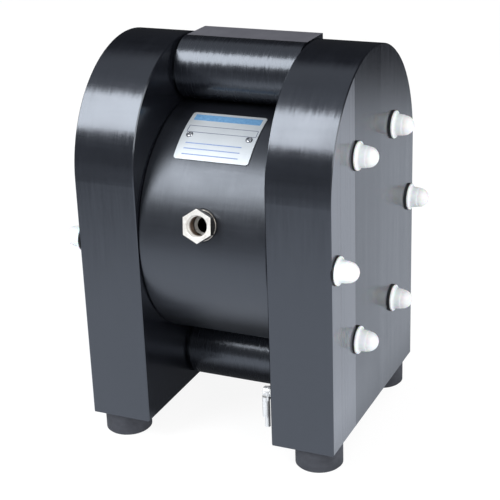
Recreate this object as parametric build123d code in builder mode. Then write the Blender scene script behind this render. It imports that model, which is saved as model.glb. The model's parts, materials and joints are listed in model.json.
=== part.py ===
from build123d import *

import os
from math import cos, radians, sin, sqrt

# Air operated double diaphragm pump, half-inch size, machined from conductive polyethylene.
# Millimetres. The origin is on the floor, at the centre of the four feet. +Z is up, -Y is the
# front with the nameplate and the air inlet, and the pump's axis runs along X through both
# housings. The two product ports and the exhaust face the rear, +Y.
os.makedirs("parts", exist_ok=True)

# Driving dimensions, housings: two arched slabs on rubber feet
SIDES = (-1, 1)
FLOOR_GAP = 15.0
TOP_Z = 243.0
HOUSING_DEPTH = 149.0
HOUSING_INNER_X = 41.2
HOUSING_OUTER_X = 80.7
EDGE_BREAK = 0.6

# Pump axis, centre block and tie rods
AXIS_Z = 130.0
BLOCK_RADIUS = 73.7
BLOCK_EDGE = 1.5
ROD_CIRCLE = 66.2
ROD_COUNT = 6
ROD_RADIUS = 3.0
ROD_HOLE = 3.25

# Diaphragms and the two chambers that each one divides
CHAMBER_RADIUS = 52.0
CHAMBER_FLOOR_RADIUS = 30.0
CHAMBER_DEPTH = 12.2
CHAMBER_LIP = 3.4
RIM_RADIUS = 60.0
RIM_THICKNESS = 4.0
RIM_CLEARANCE = 0.2
HUB_RADIUS = 24.0
CORE_RADIUS = 19.0
CORE_THICKNESS = 3.5
HUB_INNER_X = 36.0
HUB_OUTER_X = 45.0
HUB_SLOPE = 3.0
WEB_THICKNESS = 3.0
WEB_OFFSET = 0.5
WEB_ROLL = 1.2
BACKUP_RADIUS = 56.0
BACKUP_GROOVE_WIDTH = 2.2
BACKUP_GROOVE_DEPTH = 2.0
BACKUP_HALF = 0.96

# Diaphragm shaft
SHAFT_RADIUS = 8.0
SHAFT_FIT = 0.05
SHAFT_SEAL_X = 20.0
SHAFT_SEAL_LENGTH = 3.2
SHAFT_SEAL_WIDTH = 2.0
PIN_RADIUS = 4.0
PIN_DEPTH = 15.0
PIN_RECESS = 0.2

# Manifolds between the housings, with the ports at the rear
PORT_Z = (36.7, 223.3)
MANIFOLD_RADIUS = 19.7
MANIFOLD_HALF_HEIGHT = 19.3
MANIFOLD_REAR_Y = 25.0
MANIFOLD_END_X = 39.1
NECK_RADIUS = 16.5
SEAL_RECESS_RADIUS = 15.4
SEAL_RECESS_DEPTH = 2.45
SPIGOT_RADIUS = 12.6
SPIGOT_END_X = 45.2
SPIGOT_SEAL_HALF = 1.2
CHANNEL_RADIUS = 9.0
PORT_THREAD_RADIUS = 9.32
PORT_THREAD_DEPTH = 15.0

# Ball valves in the vertical bore of each housing, fitted from below
VALVE_X = 60.0
PLUG_RADIUS = 15.0
PLUG_TOP_Z = 24.0
PLUG_RECESS = 0.6
PLUG_NECK = 2.4
PLUG_NECK_LENGTH = 3.5
PLUG_SEAL_HALF = 1.05
PLUG_HEX_FLATS = 10.0
PLUG_HEX_DEPTH = 5.5
INLET_BORE = 12.9
MIDDLE_BORE = 12.5
OUTLET_BORE = 12.1
TOP_BORE = 11.4
TOP_BORE_Z = 233.0
BALL_RADIUS = 10.0
BALL_GAP = 0.05
SEAT_HEIGHT = 5.0
SEAT_CONE_TOP = 8.4
SEAT_CONE_DROP = 2.0
STOP_HEIGHT = 4.0
STOP_WALL = 1.4
STOP_BAR_WIDTH = 4.0
SEAT_TOP_Z = (52.0, 189.0)
STOP_TOP_Z = (77.0, 213.8)
INSERT_FIT = 0.05

# Air inlet: a fitting whose axis is radial, raised from the front
INLET_ELEVATION = 15.0
INLET_TURN = 5.2
INLET_FACE_RADIUS = 80.5
INLET_SEAT_RADIUS = 73.0
INLET_HEX_FLATS = 17.5
INLET_HEX_EDGE = 0.2
INLET_WASHER_RADIUS = 9.3
INLET_WASHER_THICKNESS = 1.2
INLET_SEAL_RADIUS = 8.85
INLET_SEAL_THICKNESS = 1.7
INLET_TAP_RADIUS = 7.65
INLET_TAP_DEPTH = 13.0
AIR_DRILL_RADIUS = 4.0
AIR_THREAD_RADIUS = 5.72
AIR_THREAD_DEPTH = 11.0
INLET_BORE_RADIUS = 4.6
SPOT_FACE_MARGIN = 0.7

# Air valve along X, on the inlet's drilling, and the exhaust at the rear
AIR_VALVE_RADIUS = 34.0
AIR_BORE = 10.6
SLEEVE_RADIUS = 10.5
SLEEVE_HALF = 24.0
SLEEVE_SEAL_X = (-19.0, -6.5, 6.5, 19.0)
SLEEVE_SEAL_GROOVE = (2.2, 1.9)
SLEEVE_SEAL_HALF = 0.94
SLEEVE_PORT_X = (-12.5, 0.0, 12.5)
SLEEVE_PORT_GROOVE = (5.0, 1.2)
SLEEVE_PORT_RADIUS = 1.8
SPOOL_BORE = 6.5
SPOOL_RADIUS = 6.46
SPOOL_HALF = 17.5
SPOOL_WAIST = 4.2
SPOOL_LAND_X = (2.8, 11.5)
END_CAP_X = 27.0
END_CAP_SPIGOT = 1.5
CIRCLIP_THICKNESS = 1.0
CIRCLIP_OUTER = 0.7
CIRCLIP_INNER = 1.4
CIRCLIP_GAP = (5.0, 6.0)
CIRCLIP_PLAY = 0.1
EXHAUST_Z = 146.0
EXHAUST_SEAT_Y = 69.8
EXHAUST_FACE_RADIUS = 11.1
SILENCER_FLATS = 19.0
SILENCER_BODY_RADIUS = 9.5
SILENCER_COLLAR = 5.0
SILENCER_LENGTH = 34.0
SILENCER_RIBS = 6
SILENCER_END = 3.0
SILENCER_END_TAPER = 2.5
SILENCER_GROOVE = 1.2
SILENCER_GROOVE_SLOPE = 0.4

# Fasteners and their covers on the outer faces
GASKET_RADIUS = 8.7
GASKET_THICKNESS = 1.0
GASKET_HOLE = 6.1
WASHER_RADIUS = 5.6
WASHER_THICKNESS = 1.0
WASHER_HOLE = 3.2
NUT_FLATS = 10.0
NUT_HEIGHT = 5.0
ROD_THREAD_REST = 4.0
COVER_TIP = 12.3
COVER_FLANGE_RADIUS = 8.45
COVER_FLANGE_THICKNESS = 1.0
COVER_NECK_HEIGHT = 2.5
COVER_BODY_RADIUS = 6.55
COVER_DOME_RADIUS = 6.1
COVER_BORE = 5.85
COVER_BORE_DEPTH = 9.4
COVER_NUT_GAP = 0.5

# Feet
FOOT_X = 65.2
FOOT_Y = 58.0
FOOT_RADIUS = 14.5
FOOT_EDGE = 0.8
FOOT_CORE_RADIUS = 6.0
FOOT_CORE_TOP = 12.0
FOOT_STUD_RADIUS = 4.0
FOOT_STUD_TOP = 27.0
FOOT_TAP_RADIUS = 2.5
FOOT_TAP_DEPTH = 9.0

# Nameplate, rolled to the block
PLATE_THICKNESS = 0.6
PLATE_X = (-25.5, 22.3)
PLATE_ELEVATION = (44.2, 72.9)
PLATE_CORNER = 2.0
PLATE_GAP = 0.05
RIVET_X = (-20.5, 17.7)
RIVET_ELEVATION = 57.5
RIVET_SHANK = 1.2
RIVET_LENGTH = 4.5
RIVET_HEAD_RADIUS = 2.2
RIVET_HEAD_HEIGHT = 0.9
RIVET_HEAD_TAPER = 35.0
RIVET_HEAD_GAP = 0.02

# Earth terminal on the inner face of the right housing
EARTH_Y = -68.0
EARTH_Z = 47.2
EARTH_SCREW_RADIUS = 1.5
EARTH_SCREW_DEPTH = 9.0
EARTH_SCREW_REST = 0.8
EARTH_NUT_FLATS = 5.5
EARTH_NUT_HEIGHT = 2.4
EARTH_WASHER_RADIUS = 3.2
EARTH_WASHER_THICKNESS = 0.8
LUG_THICKNESS = 1.0
LUG_RING_RADIUS = 3.4
LUG_TONGUE_WIDTH = 3.6
LUG_BARREL_RADIUS = 2.3
LUG_BARREL_Z = (30.5, 43.7)
LUG_BARREL_LAP = 2.0
LUG_CRIMP_RADIUS = 1.6
LUG_CRIMP_BOTTOM = 23.9
BOLT_FIT = 0.1

HALF_DEPTH = HOUSING_DEPTH / 2
ARCH_Z = TOP_Z - HALF_DEPTH
PUMP_AXIS = Axis((0, 0, AXIS_Z), (1, 0, 0))
RIM_X = HOUSING_INNER_X - RIM_THICKNESS / 2
BLOCK_FLOOR_X = HOUSING_INNER_X - CHAMBER_DEPTH
SEAT_RADII = (INLET_BORE - INSERT_FIT, OUTLET_BORE - INSERT_FIT)
BALL_REACH = (BALL_RADIUS + BALL_GAP) * sqrt(2) - SEAT_CONE_TOP


def save(builder, name):
    """Label a finished piece and write its STEP file."""
    builder.part.label = name
    export_step(builder.part, f"parts/{name}.step")


def side_name(side):
    return "right" if side > 0 else "left"


def outline(points, plane=Plane.XZ):
    """A closed outline of straight lines, as a sketch on a plane."""
    with BuildSketch(plane) as profile:
        with BuildLine():
            Polyline(*points, close=True)
        make_face()
    return profile.sketch


def about_pump_axis(side, points):
    """Outline points (distance along X, radius) of one side, as points of the XZ plane."""
    return [(side * x, AXIS_Z + radius) for x, radius in points]


def rod_locations(x, side):
    """The six rod ends on the plane at x, facing outwards."""
    places = []
    for index in range(ROD_COUNT):
        angle = radians(360 / ROD_COUNT * index)
        y = ROD_CIRCLE * cos(angle)
        z = AXIS_Z + ROD_CIRCLE * sin(angle)
        places.append(Plane(origin=(side * x, y, z), z_dir=(side, 0, 0)).location)
    return places


def rod_hole_sketch(x):
    """The six tie rod holes, on the plane at x."""
    with BuildSketch(Plane.YZ.offset(x)) as holes:
        with Locations((0, AXIS_Z)):
            with PolarLocations(ROD_CIRCLE, ROD_COUNT):
                Circle(ROD_HOLE)
    return holes.sketch


def radial_plane(x, radius, elevation):
    """A plane at a radius from the pump's axis, facing outwards, raised from the front."""
    tilt = radians(elevation)
    outwards = (0, -cos(tilt), sin(tilt))
    origin = (x, radius * outwards[1], AXIS_Z + radius * outwards[2])
    return Plane(origin=origin, x_dir=(1, 0, 0), z_dir=outwards)


AIR_VALVE_Y = -AIR_VALVE_RADIUS * cos(radians(INLET_ELEVATION))
AIR_VALVE_Z = AXIS_Z + AIR_VALVE_RADIUS * sin(radians(INLET_ELEVATION))
PLATE_TOP_RADIUS = BLOCK_RADIUS + PLATE_GAP + PLATE_THICKNESS
RIVET_PLANES = [radial_plane(x, PLATE_TOP_RADIUS, RIVET_ELEVATION) for x in RIVET_X]


# Housings: arched slab, dished product chamber, stepped valve bore and two cross ports
def make_housing(side):
    inner_x = HOUSING_INNER_X
    thickness = HOUSING_OUTER_X - HOUSING_INNER_X
    low_x = min(side * inner_x, side * HOUSING_OUTER_X)
    with BuildPart() as housing:
        with BuildSketch(Plane.YZ.offset(low_x)):
            with BuildLine():
                Polyline(
                    (-HALF_DEPTH, ARCH_Z),
                    (-HALF_DEPTH, FLOOR_GAP),
                    (HALF_DEPTH, FLOOR_GAP),
                    (HALF_DEPTH, ARCH_Z),
                )
                ThreePointArc((HALF_DEPTH, ARCH_Z), (0, TOP_Z), (-HALF_DEPTH, ARCH_Z))
            make_face()
        extrude(amount=thickness)
        chamfer(housing.faces().filter_by(Axis.X).edges(), EDGE_BREAK)

        # product chamber, with a seat for the diaphragm's rim
        rim_depth = RIM_THICKNESS / 2
        dish = about_pump_axis(side, [
            (inner_x - 1, 0),
            (inner_x - 1, RIM_RADIUS + RIM_CLEARANCE),
            (inner_x + rim_depth, RIM_RADIUS + RIM_CLEARANCE),
            (inner_x + rim_depth, CHAMBER_RADIUS),
            (inner_x + CHAMBER_LIP, CHAMBER_RADIUS),
            (inner_x + CHAMBER_DEPTH, CHAMBER_FLOOR_RADIUS),
            (inner_x + CHAMBER_DEPTH, 0),
        ])
        revolve(outline(dish), axis=PUMP_AXIS, mode=Mode.SUBTRACT)

        # valve bore, drilled from the underside in steps
        steps = [
            (FLOOR_GAP, PLUG_TOP_Z, PLUG_RADIUS),
            (PLUG_TOP_Z, STOP_TOP_Z[0], INLET_BORE),
            (STOP_TOP_Z[0], SEAT_TOP_Z[1] - SEAT_HEIGHT, MIDDLE_BORE),
            (SEAT_TOP_Z[1] - SEAT_HEIGHT, STOP_TOP_Z[1], OUTLET_BORE),
            (STOP_TOP_Z[1], TOP_BORE_Z, TOP_BORE),
        ]
        for bottom, top, radius in steps:
            with BuildSketch(Plane.XY.offset(bottom)):
                with Locations((side * VALVE_X, 0)):
                    Circle(radius)
            extrude(amount=top - bottom, mode=Mode.SUBTRACT)

        # cross ports to the manifolds, with a counterbore for the spigot and its seal
        for port_z in PORT_Z:
            for depth, radius in (
                (VALVE_X - inner_x, CHANNEL_RADIUS),
                (SPIGOT_END_X - inner_x + 0.1, SPIGOT_RADIUS + INSERT_FIT),
                (SEAL_RECESS_DEPTH, SEAL_RECESS_RADIUS),
            ):
                with BuildSketch(Plane.YZ.offset(side * inner_x)):
                    with Locations((0, port_z)):
                        Circle(radius)
                extrude(amount=side * depth, mode=Mode.SUBTRACT)

        extrude(rod_hole_sketch(low_x), amount=thickness, mode=Mode.SUBTRACT)

        # tapped holes for the foot studs
        with BuildSketch(Plane.XY.offset(FLOOR_GAP)):
            with Locations((side * FOOT_X, -FOOT_Y), (side * FOOT_X, FOOT_Y)):
                Circle(FOOT_STUD_RADIUS + INSERT_FIT)
        extrude(amount=FOOT_STUD_TOP - FLOOR_GAP + 1, mode=Mode.SUBTRACT)

        # tapped hole for the earth screw, in the right housing only
        if side > 0:
            with BuildSketch(Plane.YZ.offset(inner_x)):
                with Locations((EARTH_Y, EARTH_Z)):
                    Circle(EARTH_SCREW_RADIUS + INSERT_FIT)
            extrude(amount=EARTH_SCREW_DEPTH + 1, mode=Mode.SUBTRACT)
    save(housing, f"housing_{side_name(side)}")


for side in SIDES:
    make_housing(side)


# Centre block: air chambers, shaft bore, air valve bore, air ports
with BuildPart() as centre_block:
    with BuildSketch(Plane.YZ.offset(-HOUSING_INNER_X)):
        with Locations((0, AXIS_Z)):
            Circle(BLOCK_RADIUS)
    extrude(amount=2 * HOUSING_INNER_X)
    fillet(centre_block.edges().filter_by(GeomType.CIRCLE), BLOCK_EDGE)

    for side in SIDES:
        rim_depth = RIM_THICKNESS / 2
        dish = about_pump_axis(side, [
            (HOUSING_INNER_X + 1, 0),
            (HOUSING_INNER_X + 1, RIM_RADIUS + RIM_CLEARANCE),
            (HOUSING_INNER_X - rim_depth, RIM_RADIUS + RIM_CLEARANCE),
            (HOUSING_INNER_X - rim_depth, CHAMBER_RADIUS),
            (HOUSING_INNER_X - CHAMBER_LIP, CHAMBER_RADIUS),
            (BLOCK_FLOOR_X, CHAMBER_FLOOR_RADIUS),
            (BLOCK_FLOOR_X, 0),
        ])
        revolve(outline(dish), axis=PUMP_AXIS, mode=Mode.SUBTRACT)

        # groove for the backup ring behind the diaphragm's rim
        with BuildSketch(Plane.YZ.offset(side * RIM_X)):
            with Locations((0, AXIS_Z)):
                Circle(BACKUP_RADIUS + BACKUP_GROOVE_WIDTH / 2)
                Circle(BACKUP_RADIUS - BACKUP_GROOVE_WIDTH / 2, mode=Mode.SUBTRACT)
        extrude(amount=-side * BACKUP_GROOVE_DEPTH, mode=Mode.SUBTRACT)

        # seal groove in the shaft bore
        with BuildSketch(Plane.YZ.offset(side * SHAFT_SEAL_X)):
            with Locations((0, AXIS_Z)):
                Circle(SHAFT_RADIUS + SHAFT_SEAL_WIDTH)
        extrude(amount=-side * SHAFT_SEAL_LENGTH, mode=Mode.SUBTRACT)

        # circlip groove in the air valve bore
        with BuildSketch(Plane.YZ.offset(side * END_CAP_X)):
            with Locations((AIR_VALVE_Y, AIR_VALVE_Z)):
                Circle(AIR_BORE + CIRCLIP_OUTER + CIRCLIP_PLAY)
        extrude(amount=side * (CIRCLIP_THICKNESS + CIRCLIP_PLAY), mode=Mode.SUBTRACT)

    with BuildSketch(Plane.YZ.offset(-HOUSING_INNER_X)):
        with Locations((0, AXIS_Z)):
            Circle(SHAFT_RADIUS + SHAFT_FIT)
        with Locations((AIR_VALVE_Y, AIR_VALVE_Z)):
            Circle(AIR_BORE)
    extrude(amount=2 * HOUSING_INNER_X, mode=Mode.SUBTRACT)

    extrude(rod_hole_sketch(-HOUSING_INNER_X), amount=2 * HOUSING_INNER_X, mode=Mode.SUBTRACT)

    # spot face, tapped hole and drilling of the radial air inlet
    for radius, inner_radius in (
        (INLET_WASHER_RADIUS + SPOT_FACE_MARGIN, INLET_SEAT_RADIUS),
        (INLET_TAP_RADIUS, INLET_SEAT_RADIUS - INLET_TAP_DEPTH),
        (AIR_DRILL_RADIUS, AIR_VALVE_RADIUS),
    ):
        with BuildSketch(radial_plane(0, BLOCK_RADIUS, INLET_ELEVATION)):
            Circle(radius)
        extrude(amount=inner_radius - BLOCK_RADIUS, mode=Mode.SUBTRACT)

    # spot face, tapped hole and drilling of the exhaust at the rear
    for radius, end_y in (
        (EXHAUST_FACE_RADIUS, EXHAUST_SEAT_Y),
        (INLET_TAP_RADIUS, EXHAUST_SEAT_Y - INLET_TAP_DEPTH),
        (AIR_DRILL_RADIUS, AIR_VALVE_Y),
    ):
        with BuildSketch(Plane.XZ.offset(-BLOCK_RADIUS)):
            with Locations((0, EXHAUST_Z)):
                Circle(radius)
        extrude(amount=BLOCK_RADIUS - end_y, mode=Mode.SUBTRACT)

    # blind holes for the nameplate's rivets
    for rivet_plane in RIVET_PLANES:
        with BuildSketch(rivet_plane):
            Circle(RIVET_SHANK + INSERT_FIT)
        extrude(amount=-RIVET_LENGTH - EDGE_BREAK, mode=Mode.SUBTRACT)
save(centre_block, "centre_block")


# Manifolds: a bar with a round front and flats above, below and behind, spigots at both ends
def make_manifold(name, port_z):
    crease_y = -sqrt(MANIFOLD_RADIUS**2 - MANIFOLD_HALF_HEIGHT**2)
    top = port_z + MANIFOLD_HALF_HEIGHT
    bottom = port_z - MANIFOLD_HALF_HEIGHT
    with BuildPart() as manifold:
        with BuildSketch(Plane.YZ.offset(-MANIFOLD_END_X)):
            with BuildLine():
                Polyline(
                    (crease_y, top),
                    (MANIFOLD_REAR_Y, top),
                    (MANIFOLD_REAR_Y, bottom),
                    (crease_y, bottom),
                )
                ThreePointArc((crease_y, bottom), (-MANIFOLD_RADIUS, port_z), (crease_y, top))
            make_face()
        extrude(amount=2 * MANIFOLD_END_X)
        for radius, end_x in ((NECK_RADIUS, HOUSING_INNER_X), (SPIGOT_RADIUS, SPIGOT_END_X)):
            with BuildSketch(Plane.YZ.offset(-end_x)):
                with Locations((0, port_z)):
                    Circle(radius)
            extrude(amount=2 * end_x)
        with BuildSketch(Plane.YZ.offset(-SPIGOT_END_X)):
            with Locations((0, port_z)):
                Circle(CHANNEL_RADIUS)
        extrude(amount=2 * SPIGOT_END_X, mode=Mode.SUBTRACT)
        for radius, depth in (
            (PORT_THREAD_RADIUS, PORT_THREAD_DEPTH),
            (CHANNEL_RADIUS, MANIFOLD_REAR_Y),
        ):
            with BuildSketch(Plane.XZ.offset(-MANIFOLD_REAR_Y)):
                with Locations((0, port_z)):
                    Circle(radius)
            extrude(amount=depth, mode=Mode.SUBTRACT)
    save(manifold, name)


make_manifold("inlet_manifold", PORT_Z[0])
make_manifold("outlet_manifold", PORT_Z[1])


# Sealing rings, squeezed square between their walls
ABOUT_X = Plane(origin=(0, 0, 0), x_dir=(0, 0, 1), z_dir=(0, 1, 0))
ABOUT_Z = Plane.XZ
RING_CORNER_SHARE = 0.4


def make_rings(name, centres, section_plane, mean_radius, half):
    """A group of rings, each about its own centre, with a square section and cut corners."""
    cut = half * (1 - RING_CORNER_SHARE)
    section = [
        (mean_radius - half, -cut),
        (mean_radius - half, cut),
        (mean_radius - cut, half),
        (mean_radius + cut, half),
        (mean_radius + half, cut),
        (mean_radius + half, -cut),
        (mean_radius + cut, -half),
        (mean_radius - cut, -half),
    ]
    with BuildPart() as rings:
        for centre in centres:
            plane = Plane(origin=centre, x_dir=section_plane.x_dir, z_dir=section_plane.z_dir)
            revolve(outline(section, plane), axis=Axis(centre, plane.y_dir))
    save(rings, name)


SPIGOT_SEAL_X = HOUSING_INNER_X + SEAL_RECESS_DEPTH / 2
make_rings(
    "manifold_o_rings",
    [(side * SPIGOT_SEAL_X, 0, port_z) for side in SIDES for port_z in PORT_Z],
    ABOUT_X,
    (SPIGOT_RADIUS + SEAL_RECESS_RADIUS) / 2,
    SPIGOT_SEAL_HALF,
)
make_rings(
    "backup_o_rings",
    [(side * (RIM_X - BACKUP_GROOVE_DEPTH / 2), 0, AXIS_Z) for side in SIDES],
    ABOUT_X,
    BACKUP_RADIUS,
    BACKUP_HALF,
)


# Diaphragms: clamped rim, thin rolling web, thick hub that holds the core
def make_diaphragm(side):
    rim_outer_x = RIM_X + RIM_THICKNESS
    web_middle = (CHAMBER_RADIUS + HUB_RADIUS) / 2
    web_inner_x = RIM_X + WEB_OFFSET
    web_outer_x = web_inner_x + WEB_THICKNESS
    web_start = HUB_RADIUS + HUB_SLOPE
    web_end = CHAMBER_RADIUS - 2 * WEB_OFFSET
    seat_x = HUB_INNER_X + CORE_THICKNESS + INSERT_FIT
    seat_radius = CORE_RADIUS + INSERT_FIT

    def at(x, radius):
        return (side * x, AXIS_Z + radius)

    with BuildPart() as diaphragm:
        with BuildSketch(Plane.XZ):
            with BuildLine():
                Polyline(
                    at(seat_x, 0),
                    at(HUB_OUTER_X, 0),
                    at(HUB_OUTER_X, CORE_RADIUS),
                    at(web_outer_x, web_start),
                )
                ThreePointArc(
                    at(web_outer_x, web_start),
                    at(web_outer_x - WEB_ROLL, web_middle),
                    at(web_outer_x, web_end),
                )
                Polyline(
                    at(web_outer_x, web_end),
                    at(rim_outer_x, CHAMBER_RADIUS),
                    at(rim_outer_x, RIM_RADIUS),
                    at(RIM_X, RIM_RADIUS),
                    at(RIM_X, CHAMBER_RADIUS + WEB_OFFSET),
                    at(web_inner_x, web_end),
                )
                ThreePointArc(
                    at(web_inner_x, web_end),
                    at(web_inner_x - WEB_ROLL, web_middle),
                    at(web_inner_x, web_start),
                )
                Polyline(
                    at(web_inner_x, web_start),
                    at(HUB_INNER_X, HUB_RADIUS),
                    at(HUB_INNER_X, seat_radius),
                    at(seat_x, seat_radius),
                    at(seat_x, 0),
                )
            make_face()
        revolve(axis=PUMP_AXIS)
    save(diaphragm, f"diaphragm_{side_name(side)}")

    with BuildPart() as core:
        with BuildSketch(Plane.YZ.offset(side * HUB_INNER_X)):
            with Locations((0, AXIS_Z)):
                Circle(CORE_RADIUS)
                Circle(PIN_RADIUS + INSERT_FIT, mode=Mode.SUBTRACT)
        extrude(amount=side * CORE_THICKNESS)
        rim = core.edges().filter_by(GeomType.CIRCLE).group_by(SortBy.RADIUS)[-1]
        chamfer(rim, EDGE_BREAK)
    save(core, f"diaphragm_core_{side_name(side)}")


for side in SIDES:
    make_diaphragm(side)


with BuildPart() as diaphragm_shaft:
    with BuildSketch(Plane.YZ.offset(-HUB_INNER_X)):
        with Locations((0, AXIS_Z)):
            Circle(SHAFT_RADIUS)
    extrude(amount=2 * HUB_INNER_X)
    chamfer(diaphragm_shaft.edges().filter_by(GeomType.CIRCLE), EDGE_BREAK)
    for side in SIDES:
        with BuildSketch(Plane.YZ.offset(side * HUB_INNER_X)):
            with Locations((0, AXIS_Z)):
                Circle(PIN_RADIUS + INSERT_FIT)
        extrude(amount=-side * (PIN_DEPTH + EDGE_BREAK), mode=Mode.SUBTRACT)
save(diaphragm_shaft, "diaphragm_shaft")


with BuildPart() as pin_screws:
    for side in SIDES:
        with BuildSketch(Plane.YZ.offset(side * (HUB_INNER_X - PIN_DEPTH))):
            with Locations((0, AXIS_Z)):
                Circle(PIN_RADIUS)
        extrude(amount=side * (PIN_DEPTH + CORE_THICKNESS - PIN_RECESS))
save(pin_screws, "pin_screws")


with BuildPart() as shaft_seals:
    for side in SIDES:
        with BuildSketch(Plane.YZ.offset(side * (SHAFT_SEAL_X - INSERT_FIT))):
            with Locations((0, AXIS_Z)):
                Circle(SHAFT_RADIUS + SHAFT_SEAL_WIDTH - INSERT_FIT)
                Circle(SHAFT_RADIUS + SHAFT_FIT, mode=Mode.SUBTRACT)
        extrude(amount=-side * (SHAFT_SEAL_LENGTH - 2 * INSERT_FIT))
save(shaft_seals, "shaft_seals")


# Ball valves: seats, balls, stops and the plugs that close the bores
def valve_axis(side):
    return Axis((side * VALVE_X, 0, 0), (0, 0, 1))


STAGES = ("inlet", "outlet")

for stage, seat_top, outer in zip(STAGES, SEAT_TOP_Z, SEAT_RADII):
    throat = SEAT_CONE_TOP - SEAT_CONE_DROP
    with BuildPart() as valve_seats:
        for side in SIDES:
            x = side * VALVE_X
            section = outline([
                (x + SEAT_CONE_TOP, seat_top),
                (x + outer, seat_top),
                (x + outer, seat_top - SEAT_HEIGHT),
                (x + throat, seat_top - SEAT_HEIGHT),
                (x + throat, seat_top - SEAT_CONE_DROP),
            ])
            revolve(section, axis=valve_axis(side))
    save(valve_seats, f"{stage}_valve_seats")

for stage, stop_top, outer in zip(STAGES, STOP_TOP_Z, SEAT_RADII):
    with BuildPart() as ball_stops:
        for side in SIDES:
            with BuildSketch(Plane.XY.offset(stop_top - STOP_HEIGHT)):
                with Locations((side * VALVE_X, 0)):
                    Circle(outer)
                    Circle(outer - STOP_WALL, mode=Mode.SUBTRACT)
                    Rectangle(2 * outer - STOP_WALL, STOP_BAR_WIDTH)
            extrude(amount=STOP_HEIGHT)
    save(ball_stops, f"{stage}_ball_stops")

for stage, seat_top in zip(STAGES, SEAT_TOP_Z):
    for side in SIDES:
        with BuildPart() as ball:
            with Locations((side * VALVE_X, 0, seat_top + BALL_REACH)):
                Sphere(BALL_RADIUS)
        save(ball, f"{stage}_ball_{side_name(side)}")

with BuildPart() as valve_plugs:
    for side in SIDES:
        x = side * VALVE_X
        base_z = FLOOR_GAP + PLUG_RECESS
        wall = PLUG_RADIUS - INSERT_FIT
        section = outline([
            (x, base_z),
            (x + wall - EDGE_BREAK, base_z),
            (x + wall, base_z + EDGE_BREAK),
            (x + wall, PLUG_TOP_Z - PLUG_NECK_LENGTH),
            (x + PLUG_RADIUS - PLUG_NECK, PLUG_TOP_Z - PLUG_NECK_LENGTH),
            (x + PLUG_RADIUS - PLUG_NECK, PLUG_TOP_Z),
            (x, PLUG_TOP_Z),
        ])
        revolve(section, axis=valve_axis(side))
        with BuildSketch(Plane.XY.offset(base_z)):
            with Locations((x, 0)):
                RegularPolygon(radius=PLUG_HEX_FLATS / 2, side_count=6, major_radius=False)
        extrude(amount=PLUG_HEX_DEPTH, mode=Mode.SUBTRACT)
save(valve_plugs, "valve_plugs")

make_rings(
    "plug_seals",
    [(side * VALVE_X, 0, PLUG_TOP_Z - PLUG_NECK_LENGTH / 2) for side in SIDES],
    ABOUT_Z,
    PLUG_RADIUS - PLUG_NECK / 2,
    PLUG_SEAL_HALF,
)


# Air valve: ported sleeve, spool, end caps and circlips in the centre block
AIR_VALVE_AXIS = Axis((0, AIR_VALVE_Y, AIR_VALVE_Z), (1, 0, 0))


def air_ring_sketch(x, outer, inner):
    with BuildSketch(Plane.YZ.offset(x)) as ring:
        with Locations((AIR_VALVE_Y, AIR_VALVE_Z)):
            Circle(outer)
            Circle(inner, mode=Mode.SUBTRACT)
    return ring.sketch


def sleeve_groove(centre_x, groove):
    """Cut a ring groove of one width and depth into the sleeve."""
    width, depth = groove
    ring = air_ring_sketch(centre_x - width / 2, AIR_BORE, SLEEVE_RADIUS - depth)
    extrude(ring, amount=width, mode=Mode.SUBTRACT)


with BuildPart() as air_valve_sleeve:
    extrude(air_ring_sketch(-SLEEVE_HALF, SLEEVE_RADIUS, SPOOL_BORE), amount=2 * SLEEVE_HALF)
    for seal_x in SLEEVE_SEAL_X:
        sleeve_groove(seal_x, SLEEVE_SEAL_GROOVE)
    for port_x in SLEEVE_PORT_X:
        sleeve_groove(port_x, SLEEVE_PORT_GROOVE)
        with BuildSketch(Plane.XZ.offset(-AIR_VALVE_Y - AIR_BORE)):
            with Locations((port_x, AIR_VALVE_Z)):
                Circle(SLEEVE_PORT_RADIUS)
        extrude(amount=2 * AIR_BORE, mode=Mode.SUBTRACT)
save(air_valve_sleeve, "air_valve_sleeve")

make_rings(
    "air_valve_o_rings",
    [(seal_x, AIR_VALVE_Y, AIR_VALVE_Z) for seal_x in SLEEVE_SEAL_X],
    ABOUT_X,
    SLEEVE_RADIUS - SLEEVE_SEAL_HALF,
    SLEEVE_SEAL_HALF,
)

with BuildPart() as air_valve_spool:
    spool_section = [
        (-SPOOL_HALF, 0),
        (-SPOOL_HALF, SPOOL_RADIUS),
        (-SPOOL_LAND_X[1], SPOOL_RADIUS),
        (-SPOOL_LAND_X[1], SPOOL_WAIST),
        (-SPOOL_LAND_X[0], SPOOL_WAIST),
        (-SPOOL_LAND_X[0], SPOOL_RADIUS),
        (SPOOL_LAND_X[0], SPOOL_RADIUS),
        (SPOOL_LAND_X[0], SPOOL_WAIST),
        (SPOOL_LAND_X[1], SPOOL_WAIST),
        (SPOOL_LAND_X[1], SPOOL_RADIUS),
        (SPOOL_HALF, SPOOL_RADIUS),
        (SPOOL_HALF, 0),
    ]
    spool_points = [(x, AIR_VALVE_Z + radius) for x, radius in spool_section]
    revolve(outline(spool_points, Plane.XZ.offset(-AIR_VALVE_Y)), axis=AIR_VALVE_AXIS)
save(air_valve_spool, "air_valve_spool")

with BuildPart() as air_valve_end_caps:
    for side in SIDES:
        for start_x, radius in (
            (SLEEVE_HALF, SLEEVE_RADIUS),
            (SLEEVE_HALF - END_CAP_SPIGOT, SPOOL_RADIUS),
        ):
            with BuildSketch(Plane.YZ.offset(side * start_x)):
                with Locations((AIR_VALVE_Y, AIR_VALVE_Z)):
                    Circle(radius)
            extrude(amount=side * (END_CAP_X - start_x))
save(air_valve_end_caps, "air_valve_end_caps")

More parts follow.
